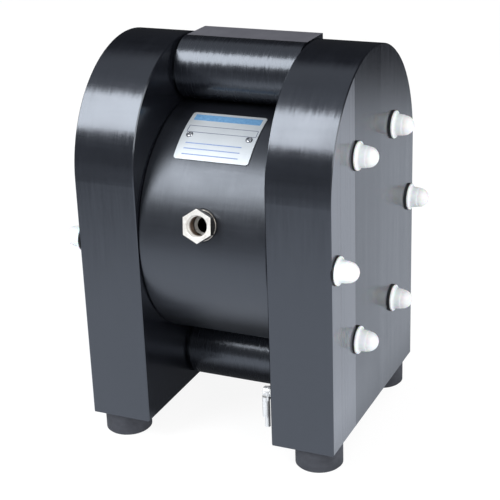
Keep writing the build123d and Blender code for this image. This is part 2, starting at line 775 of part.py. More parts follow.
with BuildPart() as air_valve_circlips:
    for side in SIDES:
        with BuildSketch(Plane.YZ.offset(side * (END_CAP_X + CIRCLIP_PLAY / 2))):
            with Locations((AIR_VALVE_Y, AIR_VALVE_Z)):
                Circle(AIR_BORE + CIRCLIP_OUTER)
                Circle(AIR_BORE - CIRCLIP_INNER, mode=Mode.SUBTRACT)
            with Locations((AIR_VALVE_Y, AIR_VALVE_Z + AIR_BORE)):
                Rectangle(*CIRCLIP_GAP, mode=Mode.SUBTRACT)
        extrude(amount=side * CIRCLIP_THICKNESS)
save(air_valve_circlips, "air_valve_circlips")


# Air inlet: hexagon with a female thread, on a black seal and a washer on the spot face
INLET_SEAL_SEAT = INLET_SEAT_RADIUS + INLET_WASHER_THICKNESS
INLET_HEX_BACK = INLET_SEAL_SEAT + INLET_SEAL_THICKNESS


def inlet_plane(radius):
    return radial_plane(0, radius, INLET_ELEVATION)


with BuildPart() as air_inlet_adapter:
    with BuildSketch(inlet_plane(INLET_HEX_BACK)):
        RegularPolygon(
            radius=INLET_HEX_FLATS / 2,
            side_count=6,
            major_radius=False,
            rotation=30 + INLET_TURN,
        )
    extrude(amount=INLET_FACE_RADIUS - INLET_HEX_BACK)
    outwards = Axis((0, 0, AXIS_Z), inlet_plane(INLET_HEX_BACK).z_dir)
    chamfer(air_inlet_adapter.faces().sort_by(outwards)[-1].edges(), INLET_HEX_EDGE)
    with BuildSketch(inlet_plane(INLET_HEX_BACK)):
        Circle(INLET_TAP_RADIUS - INSERT_FIT)
    shank_end = INLET_SEAT_RADIUS - INLET_TAP_DEPTH + EDGE_BREAK
    extrude(amount=shank_end - INLET_HEX_BACK)
    for radius, depth in (
        (AIR_THREAD_RADIUS, AIR_THREAD_DEPTH),
        (INLET_BORE_RADIUS, INLET_FACE_RADIUS - shank_end),
    ):
        with BuildSketch(inlet_plane(INLET_FACE_RADIUS)):
            Circle(radius)
        extrude(amount=-depth, mode=Mode.SUBTRACT)
save(air_inlet_adapter, "air_inlet_adapter")

for ring_name, seat_radius, thickness, outer in (
    ("air_inlet_washer", INLET_SEAT_RADIUS, INLET_WASHER_THICKNESS, INLET_WASHER_RADIUS),
    ("air_inlet_seal", INLET_SEAL_SEAT, INLET_SEAL_THICKNESS, INLET_SEAL_RADIUS),
):
    with BuildPart() as inlet_ring:
        with BuildSketch(inlet_plane(seat_radius)):
            Circle(outer)
            Circle(INLET_TAP_RADIUS, mode=Mode.SUBTRACT)
        extrude(amount=thickness)
    save(inlet_ring, ring_name)


# Exhaust silencer: threaded collar and a ribbed porous body behind the block
with BuildPart() as exhaust_silencer:
    body_y = EXHAUST_SEAT_Y + SILENCER_COLLAR
    with BuildSketch(Plane.XZ.offset(-EXHAUST_SEAT_Y)):
        with Locations((0, EXHAUST_Z)):
            RegularPolygon(radius=SILENCER_FLATS / 2, side_count=6, major_radius=False)
    extrude(amount=-SILENCER_COLLAR)
    with BuildSketch(Plane.XZ.offset(-EXHAUST_SEAT_Y)):
        with Locations((0, EXHAUST_Z)):
            Circle(INLET_TAP_RADIUS - INSERT_FIT)
            Circle(AIR_DRILL_RADIUS, mode=Mode.SUBTRACT)
    extrude(amount=INLET_TAP_DEPTH - EDGE_BREAK)
    pitch = (SILENCER_LENGTH - SILENCER_COLLAR - SILENCER_END) / SILENCER_RIBS
    groove_radius = SILENCER_BODY_RADIUS - SILENCER_GROOVE
    silencer_points = [(0, body_y), (SILENCER_BODY_RADIUS, body_y)]
    for index in range(SILENCER_RIBS):
        rib_end = body_y + pitch * (index + 1)
        groove_start = rib_end - SILENCER_GROOVE - SILENCER_GROOVE_SLOPE
        silencer_points.append((SILENCER_BODY_RADIUS, groove_start))
        silencer_points.append((groove_radius, groove_start + SILENCER_GROOVE_SLOPE))
        silencer_points.append((groove_radius, rib_end - SILENCER_GROOVE_SLOPE))
        silencer_points.append((SILENCER_BODY_RADIUS, rib_end))
    silencer_end = EXHAUST_SEAT_Y + SILENCER_LENGTH
    silencer_points.append((SILENCER_BODY_RADIUS - SILENCER_END_TAPER, silencer_end))
    silencer_points.append((0, silencer_end))
    body_section = outline(silencer_points, Plane.XY.offset(EXHAUST_Z))
    revolve(body_section, axis=Axis((0, 0, EXHAUST_Z), (0, 1, 0)))
save(exhaust_silencer, "exhaust_silencer")


# Nameplate, rolled to the block's radius, and its two rivets
with BuildPart() as nameplate:
    low, high = PLATE_ELEVATION
    inner_radius = BLOCK_RADIUS + PLATE_GAP
    outer_radius = inner_radius + PLATE_THICKNESS
    with BuildSketch(Plane.YZ.offset(PLATE_X[0])):
        with BuildLine():
            inner_arc = CenterArc((0, AXIS_Z), inner_radius, 180 - high, high - low)
            outer_arc = CenterArc((0, AXIS_Z), outer_radius, 180 - high, high - low)
            Line(inner_arc @ 0, outer_arc @ 0)
            Line(inner_arc @ 1, outer_arc @ 1)
        make_face()
    extrude(amount=PLATE_X[1] - PLATE_X[0])
    short_edges = nameplate.edges().filter_by(lambda edge: edge.length < 2 * PLATE_THICKNESS)
    fillet(short_edges, PLATE_CORNER)
    for rivet_plane in RIVET_PLANES:
        with BuildSketch(rivet_plane):
            Circle(RIVET_SHANK + INSERT_FIT)
        extrude(amount=-2 * PLATE_THICKNESS, mode=Mode.SUBTRACT)
save(nameplate, "nameplate")

with BuildPart() as nameplate_rivets:
    for rivet_plane in RIVET_PLANES:
        with BuildSketch(rivet_plane):
            Circle(RIVET_SHANK)
        extrude(amount=-RIVET_LENGTH)
        with BuildSketch(rivet_plane.offset(RIVET_HEAD_GAP)):
            Circle(RIVET_HEAD_RADIUS)
        extrude(amount=RIVET_HEAD_HEIGHT, taper=RIVET_HEAD_TAPER)
        with BuildSketch(rivet_plane):
            Circle(RIVET_SHANK)
        extrude(amount=RIVET_HEAD_HEIGHT / 2)
save(nameplate_rivets, "nameplate_rivets")


# Tie rods and what holds them: washer, nut, sealing ring and cover at each end
NUT_START = HOUSING_OUTER_X + WASHER_THICKNESS
ROD_END_X = NUT_START + NUT_HEIGHT + ROD_THREAD_REST
COVER_START = HOUSING_OUTER_X + GASKET_THICKNESS

with BuildPart() as tie_rods:
    with BuildSketch(Plane.YZ.offset(-ROD_END_X)):
        with Locations((0, AXIS_Z)):
            with PolarLocations(ROD_CIRCLE, ROD_COUNT):
                Circle(ROD_RADIUS)
    extrude(amount=2 * ROD_END_X)
    chamfer(tie_rods.edges().filter_by(GeomType.CIRCLE), EDGE_BREAK)
save(tie_rods, "tie_rods")


def make_rod_discs(name, start_x, thickness, outer, inner):
    """Flat rings round every rod end, on both housings."""
    with BuildPart() as discs:
        for side in SIDES:
            with BuildSketch(Plane.YZ.offset(side * start_x)):
                with Locations((0, AXIS_Z)):
                    with PolarLocations(ROD_CIRCLE, ROD_COUNT):
                        Circle(outer)
                        Circle(inner, mode=Mode.SUBTRACT)
            extrude(amount=side * thickness)
    save(discs, name)


make_rod_discs("rod_washers", HOUSING_OUTER_X, WASHER_THICKNESS, WASHER_RADIUS, WASHER_HOLE)
make_rod_discs("cover_rings", HOUSING_OUTER_X, GASKET_THICKNESS, GASKET_RADIUS, GASKET_HOLE)

with BuildPart() as rod_nuts:
    for side in SIDES:
        with BuildSketch(Plane.YZ.offset(side * NUT_START)):
            with Locations((0, AXIS_Z)):
                with PolarLocations(ROD_CIRCLE, ROD_COUNT):
                    RegularPolygon(radius=NUT_FLATS / 2, side_count=6, major_radius=False)
                    Circle(ROD_RADIUS + INSERT_FIT, mode=Mode.SUBTRACT)
        extrude(amount=side * NUT_HEIGHT)
save(rod_nuts, "rod_nuts")

with BuildPart() as cover:
    nut_clearance = NUT_START + NUT_HEIGHT + COVER_NUT_GAP - COVER_START
    rod_clearance = ROD_RADIUS + COVER_NUT_GAP
    dome_centre = COVER_TIP - COVER_DOME_RADIUS
    with BuildSketch(Plane.XZ):
        with BuildLine():
            Polyline(
                (0, COVER_TIP),
                (0, COVER_BORE_DEPTH),
                (rod_clearance, COVER_BORE_DEPTH),
                (rod_clearance, nut_clearance),
                (COVER_BORE, nut_clearance),
                (COVER_BORE, 0),
                (COVER_FLANGE_RADIUS, 0),
                (COVER_FLANGE_RADIUS, COVER_FLANGE_THICKNESS),
                (COVER_BODY_RADIUS, COVER_NECK_HEIGHT),
                (COVER_DOME_RADIUS, dome_centre),
            )
            CenterArc((0, dome_centre), COVER_DOME_RADIUS, 0, 90)
        make_face()
    revolve(axis=Axis.Z)

with BuildPart() as protective_covers:
    for side in SIDES:
        with Locations(*rod_locations(COVER_START, side)):
            add(cover.part)
save(protective_covers, "protective_covers")


# Feet: rubber pads with a steel core, studded into the housings and tapped from below
FOOT_ENDS = {"front": -1, "rear": 1}

for end_name, end in FOOT_ENDS.items():
    for side in SIDES:
        x = side * FOOT_X
        core_wall = x + FOOT_CORE_RADIUS + INSERT_FIT
        stud_wall = x + FOOT_STUD_RADIUS + INSERT_FIT
        pad_points = [
            (core_wall, 0),
            (x + FOOT_RADIUS - FOOT_EDGE, 0),
            (x + FOOT_RADIUS, FOOT_EDGE),
            (x + FOOT_RADIUS, FLOOR_GAP),
            (stud_wall, FLOOR_GAP),
            (stud_wall, FOOT_CORE_TOP),
            (core_wall, FOOT_CORE_TOP),
        ]
        with BuildPart() as foot:
            pad_section = outline(pad_points, Plane.XZ.offset(-end * FOOT_Y))
            revolve(pad_section, axis=Axis((x, end * FOOT_Y, 0), (0, 0, 1)))
        save(foot, f"foot_{end_name}_{side_name(side)}")

with BuildPart() as foot_studs:
    for bottom, top, radius in (
        (0, FOOT_CORE_TOP, FOOT_CORE_RADIUS),
        (FOOT_CORE_TOP, FOOT_STUD_TOP, FOOT_STUD_RADIUS),
    ):
        with BuildSketch(Plane.XY.offset(bottom)):
            with GridLocations(2 * FOOT_X, 2 * FOOT_Y, 2, 2):
                Circle(radius)
        extrude(amount=top - bottom)
    with BuildSketch(Plane.XY):
        with GridLocations(2 * FOOT_X, 2 * FOOT_Y, 2, 2):
            Circle(FOOT_TAP_RADIUS)
    extrude(amount=FOOT_TAP_DEPTH, mode=Mode.SUBTRACT)
save(foot_studs, "foot_studs")


# Earth terminal: stud, two nuts, washer and a crimp lug that hangs down
INNER_NUT_X = HOUSING_INNER_X - EARTH_NUT_HEIGHT
WASHER_X = INNER_NUT_X - EARTH_WASHER_THICKNESS
LUG_X = WASHER_X - LUG_THICKNESS
OUTER_NUT_X = LUG_X - EARTH_NUT_HEIGHT

with BuildPart() as earth_stud:
    stud_start = OUTER_NUT_X - EARTH_SCREW_REST
    with BuildSketch(Plane.YZ.offset(stud_start)):
        with Locations((EARTH_Y, EARTH_Z)):
            Circle(EARTH_SCREW_RADIUS)
    extrude(amount=HOUSING_INNER_X + EARTH_SCREW_DEPTH - stud_start)
save(earth_stud, "earth_stud")

with BuildPart() as earth_nuts:
    for nut_x in (INNER_NUT_X, OUTER_NUT_X):
        with BuildSketch(Plane.YZ.offset(nut_x)):
            with Locations((EARTH_Y, EARTH_Z)):
                RegularPolygon(
                    radius=EARTH_NUT_FLATS / 2, side_count=6, major_radius=False, rotation=30
                )
                Circle(EARTH_SCREW_RADIUS + INSERT_FIT, mode=Mode.SUBTRACT)
        extrude(amount=EARTH_NUT_HEIGHT)
save(earth_nuts, "earth_nuts")

with BuildPart() as earth_washer:
    with BuildSketch(Plane.YZ.offset(WASHER_X)):
        with Locations((EARTH_Y, EARTH_Z)):
            Circle(EARTH_WASHER_RADIUS)
            Circle(EARTH_SCREW_RADIUS + BOLT_FIT, mode=Mode.SUBTRACT)
    extrude(amount=EARTH_WASHER_THICKNESS)
save(earth_washer, "earth_washer")

with BuildPart() as earth_lug:
    barrel_bottom, barrel_top = LUG_BARREL_Z
    tongue_bottom = barrel_top - LUG_BARREL_LAP
    with BuildSketch(Plane.YZ.offset(LUG_X)):
        with Locations((EARTH_Y, EARTH_Z)):
            Circle(LUG_RING_RADIUS)
        with Locations((EARTH_Y, (EARTH_Z + tongue_bottom) / 2)):
            Rectangle(LUG_TONGUE_WIDTH, EARTH_Z - tongue_bottom)
        with Locations((EARTH_Y, EARTH_Z)):
            Circle(EARTH_SCREW_RADIUS + BOLT_FIT, mode=Mode.SUBTRACT)
    extrude(amount=LUG_THICKNESS)
    for bottom, top, radius in (
        (barrel_bottom, barrel_top, LUG_BARREL_RADIUS),
        (LUG_CRIMP_BOTTOM, barrel_bottom, LUG_CRIMP_RADIUS),
    ):
        with BuildSketch(Plane.XY.offset(bottom)):
            with Locations((WASHER_X - radius, EARTH_Y)):
                Circle(radius)
        extrude(amount=top - bottom)
save(earth_lug, "earth_lug")
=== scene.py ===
import json
import math

import bmesh
import bpy
from mathutils import Matrix, Vector


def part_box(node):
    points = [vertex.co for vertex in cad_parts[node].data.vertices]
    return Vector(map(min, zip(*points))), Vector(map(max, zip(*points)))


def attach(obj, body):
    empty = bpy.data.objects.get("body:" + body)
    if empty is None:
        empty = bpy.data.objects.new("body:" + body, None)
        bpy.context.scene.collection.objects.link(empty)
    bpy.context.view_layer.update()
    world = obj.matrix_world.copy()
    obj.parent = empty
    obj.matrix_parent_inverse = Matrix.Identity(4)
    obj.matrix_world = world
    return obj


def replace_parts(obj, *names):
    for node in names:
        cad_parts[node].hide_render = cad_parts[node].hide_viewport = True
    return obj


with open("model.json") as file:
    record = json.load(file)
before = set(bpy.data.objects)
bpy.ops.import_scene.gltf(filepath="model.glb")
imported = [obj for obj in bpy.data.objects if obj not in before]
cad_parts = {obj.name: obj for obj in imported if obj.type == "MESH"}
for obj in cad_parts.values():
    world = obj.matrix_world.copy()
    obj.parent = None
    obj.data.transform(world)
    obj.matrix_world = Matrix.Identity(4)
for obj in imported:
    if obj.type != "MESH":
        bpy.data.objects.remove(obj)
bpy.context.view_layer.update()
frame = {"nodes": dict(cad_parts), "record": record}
NODES = frame["nodes"]
MOUNTS = {mount["name"]: mount for mount in frame["record"]["mounts"]}

# The scene is in metres. X runs along the pump's axis, -Y is its front and Z is up.
MM = 0.001
FULL_TURN = 2 * math.pi

# ---------------------------------------------------------------- places worked out from the frame
BLOCK_LOW, BLOCK_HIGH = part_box("centre_block")
PUMP_AXIS_Z = (BLOCK_LOW.z + BLOCK_HIGH.z) / 2
BLOCK_RADIUS = (BLOCK_HIGH.z - BLOCK_LOW.z) / 2
PLATE_GAP = 0.05 * MM
PLATE_THICKNESS = 0.6 * MM
PLATE_RADIUS = BLOCK_RADIUS + PLATE_GAP + PLATE_THICKNESS
RINGS_LOW, RINGS_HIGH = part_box("cover_rings")
EARTH_LOW, EARTH_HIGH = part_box("earth_washer")
EARTH_STUD_LOW, EARTH_STUD_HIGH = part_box("earth_stud")
EARTH_NUTS_LOW, EARTH_NUTS_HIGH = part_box("earth_nuts")
OUTLET_LOW, OUTLET_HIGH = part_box("outlet_manifold")
INLET_MANIFOLD_LOW, INLET_MANIFOLD_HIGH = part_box("inlet_manifold")


def direction(azimuth, elevation):
    """Unit vector raised from the floor; azimuth 0 is the pump's front, 90 its right side."""
    turn, lift = math.radians(azimuth), math.radians(elevation)
    return Vector((math.sin(turn) * math.cos(lift), -math.cos(turn) * math.cos(lift), math.sin(lift)))


def link_object(name, data):
    """A new object in the scene, made from a mesh, a lamp or a camera."""
    item = bpy.data.objects.new(name, data)
    bpy.context.scene.collection.objects.link(item)
    return item


# The air inlet points out from the pump's axis. Its places are distances from that axis, and its
# sizes across are radii unless they say otherwise.
INLET_ELEVATION = 15.0
INLET_TURN = 5.2
INLET_FACE = 80.5 * MM
INLET_HEX_BACK = 75.9 * MM
INLET_WASHER_TOP = 74.2 * MM
INLET_SEAT = 73.0 * MM
INLET_SHANK_END = 60.6 * MM
INLET_ACROSS_FLATS = 17.5 * MM
INLET_EDGE = 0.2 * MM
INLET_MOUTH = 6.5 * MM
INLET_CREST = MOUNTS["air_inlet"]["dims"]["r_mm"] * MM
INLET_ROOT = 6.4 * MM
INLET_PITCH = 1.337 * MM
INLET_THREAD_DEPTH = 9.4 * MM
INLET_DEPTH = MOUNTS["air_inlet"]["dims"]["length_mm"] * MM
INLET_BORE = 4.6 * MM
INLET_SHANK = 7.6 * MM
INLET_RING_HOLE = 7.65 * MM
INLET_SEAL_RADIUS = 8.85 * MM
INLET_WASHER_RADIUS = 9.3 * MM


# ---------------------------------------------------------------- shader nodes
class NodeTree:
    """Shader nodes, added one call at a time. Each call gives back the new node's output."""

    def __init__(self, owner):
        owner.use_nodes = True
        self.tree = owner.node_tree

    def add_node(self, kind, inputs, **settings):
        """A new node, each of whose inputs is a value or another node's output."""
        node = self.tree.nodes.new(kind)
        for key, value in settings.items():
            setattr(node, key, value)
        for key, value in inputs.items():
            if isinstance(value, bpy.types.NodeSocket):
                self.tree.links.new(value, node.inputs[key])
            else:
                node.inputs[key].default_value = value
        return node

    def add(self, kind, inputs, output=0, **settings):
        return self.add_node(kind, inputs, **settings).outputs[output]

    def maths(self, operation, first, second=0.0):
        return self.add("ShaderNodeMath", {0: first, 1: second}, operation=operation)

    def times(self, first, second):
        return self.maths("MULTIPLY", first, second)

    def vector_maths(self, operation, first, second=(0, 0, 0)):
        return self.add("ShaderNodeVectorMath", {0: first, 1: second}, "Vector", operation=operation)

    def stretch(self, vector, amount):
        """A vector made longer by an amount."""
        return self.add("ShaderNodeVectorMath", {0: vector, "Scale": amount}, "Vector", operation="SCALE")

    def length(self, vector):
        return self.add("ShaderNodeVectorMath", {0: vector}, "Value", operation="LENGTH")

    def along(self, vector, unit):
        """How far a vector reaches along a unit vector."""
        return self.add("ShaderNodeVectorMath", {0: vector, 1: unit}, "Value", operation="DOT_PRODUCT")

    def split(self, vector):
        """A vector's parts, under the names X, Y and Z."""
        return self.add_node("ShaderNodeSeparateXYZ", {"Vector": vector}).outputs

    def ramp(self, value, start, stop, first, last):
        """A value that runs from start to stop becomes one that runs from first to last."""
        return self.add("ShaderNodeMapRange", {0: value, 1: start, 2: stop, 3: first, 4: last})

    def mix(self, factor, first, second):
        return self.add("ShaderNodeMix", {0: factor, 2: first, 3: second}, 0, data_type="FLOAT")

    def mix_colour(self, factor, first, second):
        return self.add("ShaderNodeMix", {0: factor, 6: first, 7: second}, 2, data_type="RGBA")

    def ray(self, kind):
        """1 for a ray of that kind, such as Camera or Glossy, and 0 for any other."""
        return self.add("ShaderNodeLightPath", {}, f"Is {kind} Ray")

    def mirrored(self):
        """1 where this is seen in a reflection or through something clear."""
        return self.maths("MAXIMUM", self.ray("Glossy"), self.ray("Transmission"))


class Finish(NodeTree):
    """A material on the Principled shader.

    A grain's scale is in features per metre along X, Y and Z, so that a small number draws its
    marks out into long streaks that way.
    """

    def __init__(self, name, **surface_values):
        self.material = bpy.data.materials.new(name)
        super().__init__(self.material)
        self.surface = self.tree.nodes["Principled BSDF"]
        for socket_name, value in surface_values.items():
            self.surface.inputs[socket_name.replace("_", " ")].default_value = value

    def place(self, scale=(1, 1, 1)):
        """The point in the pump's own frame, stretched by a scale per axis."""
        point = self.add("ShaderNodeTexCoord", {}, "Object")
        return self.add("ShaderNodeMapping", {"Vector": point, "Scale": scale}, "Vector")

    def grain(self, scale, detail=3.0, rough=0.6):
        inputs = {"Vector": self.place(scale), "Scale": 1.0, "Detail": detail, "Roughness": rough}
        return self.add("ShaderNodeTexNoise", inputs, "Fac")

    def spread(self, factor, low, high, start=0.3, stop=0.7):
        """The middle of a grain's range becomes a value between low and high."""
        return self.ramp(factor, start, stop, low, high)

    def tint(self, factor, dark, light, start=0.3, stop=0.7):
        """Two colours blended by a grain."""
        return self.mix_colour(self.spread(factor, 0.0, 1.0, start, stop), dark, light)

    def facing(self, axis, limit=0.8):
        """1 where the surface faces along an axis, either way, and 0 elsewhere."""
        normal = self.add("ShaderNodeNewGeometry", {}, "True Normal")
        size = self.maths("ABSOLUTE", self.split(normal)[axis])
        return self.maths("GREATER_THAN", size, limit)

    def turned_normal(self, degrees, scale):
        """A normal that wavers along the direction of turning, so that a highlight ends in streaks."""
        waver = self.grain(scale, detail=5.0, rough=0.75)
        normal = self.add("ShaderNodeNewGeometry", {}, "Normal")
        turning = self.vector_maths("CROSS_PRODUCT", normal, (1, 0, 0))
        lean = math.tan(math.radians(degrees))
        shift = self.stretch(turning, self.spread(waver, -lean, lean, 0.25, 0.75))
        return self.vector_maths("NORMALIZE", self.vector_maths("ADD", normal, shift))

    def link(self, output, socket_name):
        self.tree.links.new(output, self.surface.inputs[socket_name])

    def dress(self, colour, roughness, marks, relief, strength=1.0, normal=None):
        """Give the surface its colour, its roughness and marks in relief. Gives back the material."""
        self.link(colour, "Base Color")
        self.link(roughness, "Roughness")
        inputs = {"Height": marks, "Distance": relief, "Strength": strength}
        if normal:
            inputs["Normal"] = normal
        self.link(self.add("ShaderNodeBump", inputs, "Normal"), "Normal")
        return self.material


def grey(value, blue=1.0):
    """A grey whose blue is that many times its red."""
    return (value, value * (1 + (blue - 1) * 0.4), value * blue, 1.0)


# ---------------------------------------------------------------- black polyethylene
PE_DARK = (0.004, 0.0045, 0.0065, 1.0)
PE_LIGHT = (0.009, 0.010, 0.014, 1.0)
PE_SHINE = {"IOR": 1.5, "Specular_IOR_Level": 1.0, "Specular_Tint": (0.86, 0.915, 1.0, 1.0)}

# The housings' end faces show passes of the mill: a pale one at the front, a faint one at the rear. Their
# pale colour is partly painted sheen.
PASS_AND_SHEEN_COLOUR = (0.105, 0.111, 0.127, 1.0)
FRONT_BAND_END_Y = -35.5 * MM
REAR_BAND_START_Y = 10 * MM
REAR_BAND_SHARE = 0.15
BAND_STREAK = 0.16
BAND_GLOSS = 0.08
OUTER_FACE_X = RINGS_HIGH.x - 5 * MM

# The manifolds' flats are milled, but for a strip at the front. Their pale grey on the upward faces is
# partly painted sheen.
FLAT_START_Y = OUTLET_LOW.y + 19.2 * MM
FLAT_FINISH_AND_SHEEN_DARK = (0.105, 0.103, 0.120, 1.0)
FLAT_FINISH_AND_SHEEN_LIGHT = (0.130, 0.128, 0.146, 1.0)
MILLED_ROUGHNESS = 0.5


def end_face_bands(finish, on_end):
    """How far the pale bands cover a point of a housing: only on its outer face, in uneven streaks. Their
    paleness is partly painted sheen.
    """
    place = finish.split(finish.place())
    front = finish.maths("LESS_THAN", place["Y"], FRONT_BAND_END_Y)
    rear = finish.maths("GREATER_THAN", place["Y"], REAR_BAND_START_Y)
    outside = finish.maths("GREATER_THAN", finish.maths("ABSOLUTE", place["X"]), OUTER_FACE_X)
    streaks = finish.spread(finish.grain((25, 330, 5), detail=2.0), -BAND_STREAK, BAND_STREAK)
    bands = finish.maths("ADD", front, finish.times(rear, REAR_BAND_SHARE))
    bands = finish.times(finish.maths("ADD", bands, streaks), outside)
    return finish.maths("MAXIMUM", finish.times(bands, on_end), 0.0)


def machined_polyethylene(name, roughness, relief, waver, banded=False):
    """Black conductive polyethylene with the marks of turning and milling.

    Tool marks run round the pump's axis on the curved faces and straight down the end faces.
    """
    finish = Finish(name, **PE_SHINE)
    round_marks = finish.grain((1100, 30, 30), detail=4.0, rough=0.7)
    pass_marks = finish.grain((25, 520, 520), detail=4.0, rough=0.65)
    down_marks = finish.grain((25, 620, 9), detail=5.0, rough=0.7)
    cloud = finish.grain((60, 60, 60), detail=4.0)
    on_end = finish.facing("X")
    marks = finish.mix(on_end, finish.mix(0.5, round_marks, pass_marks), down_marks)
    colour = finish.tint(finish.mix(0.35, marks, cloud), PE_DARK, PE_LIGHT)
    worn = finish.spread(finish.mix(0.5, marks, cloud), roughness - 0.05, roughness + 0.06)
    if banded:
        bands = end_face_bands(finish, on_end)
        # Partly painted sheen: the bands' pale colour stands in for reflections that the glossier mill
        # passes catch.
        colour = finish.mix_colour(bands, colour, PASS_AND_SHEEN_COLOUR)
        worn = finish.maths("SUBTRACT", worn, finish.times(bands, BAND_GLOSS))
    return finish.dress(colour, worn, marks, relief, normal=finish.turned_normal(waver, (900, 30, 30)))


def milled_manifold(name):
    """The manifolds' polyethylene: turned front, and flats left by a face mill, whose pale grey is partly
    painted sheen.
    """
    finish = Finish(name, **PE_SHINE)
    round_marks = finish.grain((1300, 60, 60), detail=4.0, rough=0.75)
    pass_marks = finish.grain((30, 1100, 1100), detail=3.0, rough=0.6)
    cloud = finish.grain((80, 80, 80), detail=3.0)
    milled = finish.maths("GREATER_THAN", finish.split(finish.place())["Y"], FLAT_START_Y)
    on_flat = finish.times(finish.facing("Z", 0.97), milled)
    marks = finish.mix(0.3, round_marks, pass_marks)
    turned = finish.tint(marks, PE_DARK, PE_LIGHT)
    # Partly painted sheen: the upward flats get a pale grey for the bright surroundings that they reflect.
    flat = finish.tint(cloud, FLAT_FINISH_AND_SHEEN_DARK, FLAT_FINISH_AND_SHEEN_LIGHT)
    colour = finish.mix_colour(on_flat, turned, flat)
    roughness = finish.mix(on_flat, finish.spread(round_marks, 0.2, 0.3), MILLED_ROUGHNESS)
    normal = finish.turned_normal(3.0, (800, 40, 40))
    return finish.dress(colour, roughness, marks, 0.012 * MM, normal=normal)


# ---------------------------------------------------------------- other materials
def white_plastic(name):
    """Bright white moulded polyethylene of the covers, slightly translucent."""
    shine = {"IOR": 1.5, "Specular_IOR_Level": 0.4}
    finish = Finish(name, Subsurface_Weight=0.25, Subsurface_Scale=2 * MM, **shine)
    cloud = finish.grain((220, 220, 220), detail=4.0)
    skin = finish.grain((1500, 1500, 1500), detail=2.0)
    colour = finish.tint(cloud, (0.88, 0.89, 0.91, 1.0), (0.95, 0.95, 0.955, 1.0))
    return finish.dress(colour, finish.spread(skin, 0.32, 0.46), skin, 0.01 * MM, 0.5)


def rubber(name, dark, light, roughness):
    """Moulded black rubber with a dusty bloom."""
    finish = Finish(name, IOR=1.5, Specular_IOR_Level=0.35)
    bloom = finish.grain((90, 90, 140), detail=5.0, rough=0.65)
    pores = finish.grain((900, 900, 900), detail=2.0)
    worn = finish.spread(pores, roughness - 0.06, roughness + 0.08)
    return finish.dress(finish.tint(bloom, dark, light), worn, pores, 0.03 * MM, 0.7)


def metal(name, dark, light, roughness, scale, metallic=1.0):
    """Bright metal with fine marks whose direction follows the scale."""
    finish = Finish(name, Metallic=metallic)
    marks = finish.grain(scale, detail=4.0, rough=0.7)
    cloud = finish.grain((150, 150, 150), detail=3.0)
    colour = finish.tint(finish.mix(0.5, marks, cloud), dark, light)
    worn = finish.spread(marks, roughness - 0.07, roughness + 0.1)
    return finish.dress(colour, worn, marks, 0.01 * MM, 0.6)


def plain_plastic(name, dark, light, roughness, scale):
    """Turned or moulded plastic with a fine grain, for the pieces inside the pump."""
    finish = Finish(name, IOR=1.45)
    marks = finish.grain(scale, detail=3.0)
    cloud = finish.grain((120, 120, 120), detail=3.0)
    colour = finish.tint(finish.mix(0.5, marks, cloud), dark, light)
    worn = finish.spread(marks, roughness - 0.05, roughness + 0.08)
    return finish.dress(colour, worn, marks, 0.01 * MM, 0.7)


def porous_plastic(name):
    """Sintered body of the silencer: small beads fused together."""
    finish = Finish(name, IOR=1.5)
    inputs = {"Vector": finish.place((1400, 1400, 1400)), "Scale": 1.0}
    beads = finish.add("ShaderNodeTexVoronoi", inputs, "Distance")
    colour = finish.tint(beads, (0.80, 0.80, 0.78, 1), (0.52, 0.52, 0.50, 1), 0.1, 0.7)
    domes = finish.maths("SUBTRACT", 1.0, beads)
    return finish.dress(colour, finish.spread(beads, 0.5, 0.8), domes, 0.15 * MM, 0.8)


def plate_metal(name):
    """Silver nameplate, brushed along its length."""
    finish = Finish(name, Metallic=0.5, IOR=1.5)
    brushed = finish.grain((60, 2600, 2600), detail=4.0, rough=0.7)
    cloud = finish.grain((70, 70, 70), detail=3.0)
    shade = finish.mix(0.5, brushed, cloud)
    colour = finish.tint(shade, (0.58, 0.62, 0.65, 1), (0.70, 0.73, 0.75, 1))
    return finish.dress(colour, finish.spread(brushed, 0.42, 0.58), brushed, 0.004 * MM, 0.5)


def ink(name, dark, light):
    """Screen-printed ink on the plate, a little uneven."""
    finish = Finish(name, IOR=1.45)
    patches = finish.grain((900, 900, 900), detail=3.0)
    colour = finish.tint(patches, dark, light)
    return finish.dress(colour, finish.spread(patches, 0.35, 0.5), patches, 0.006 * MM, 0.5)


# ---------------------------------------------------------------- plating of the air inlet
PLATING = ((0.80, 0.76, 0.70, 1), (0.96, 0.94, 0.90, 1))
PLATED_SIDE = ((0.34, 0.30, 0.26, 1), (0.50, 0.46, 0.41, 1))
# Painted shade in the bore: brass brown that darkens with depth, and near black in the thread's runout.
BORE_BRASS_AND_SHADE = ((0.035, 0.02, 0.012, 1), (0.13, 0.08, 0.05, 1))
RUNOUT_SHADE = (0.02, 0.014, 0.01, 1)
# Partly painted highlight: the step's bright plating also stands in for light catching it.
STEP_PLATING_AND_HIGHLIGHT = (0.98, 0.95, 0.90, 1)
BORE_SHADE_START = 1.4 * MM
BORE_SHADE_FULL = 4.2 * MM
RUNOUT_START = INLET_THREAD_DEPTH - 1.2 * MM
STEP_HALF_WIDTH = 0.3 * MM
MOUTH_MARGIN = 0.05 * MM


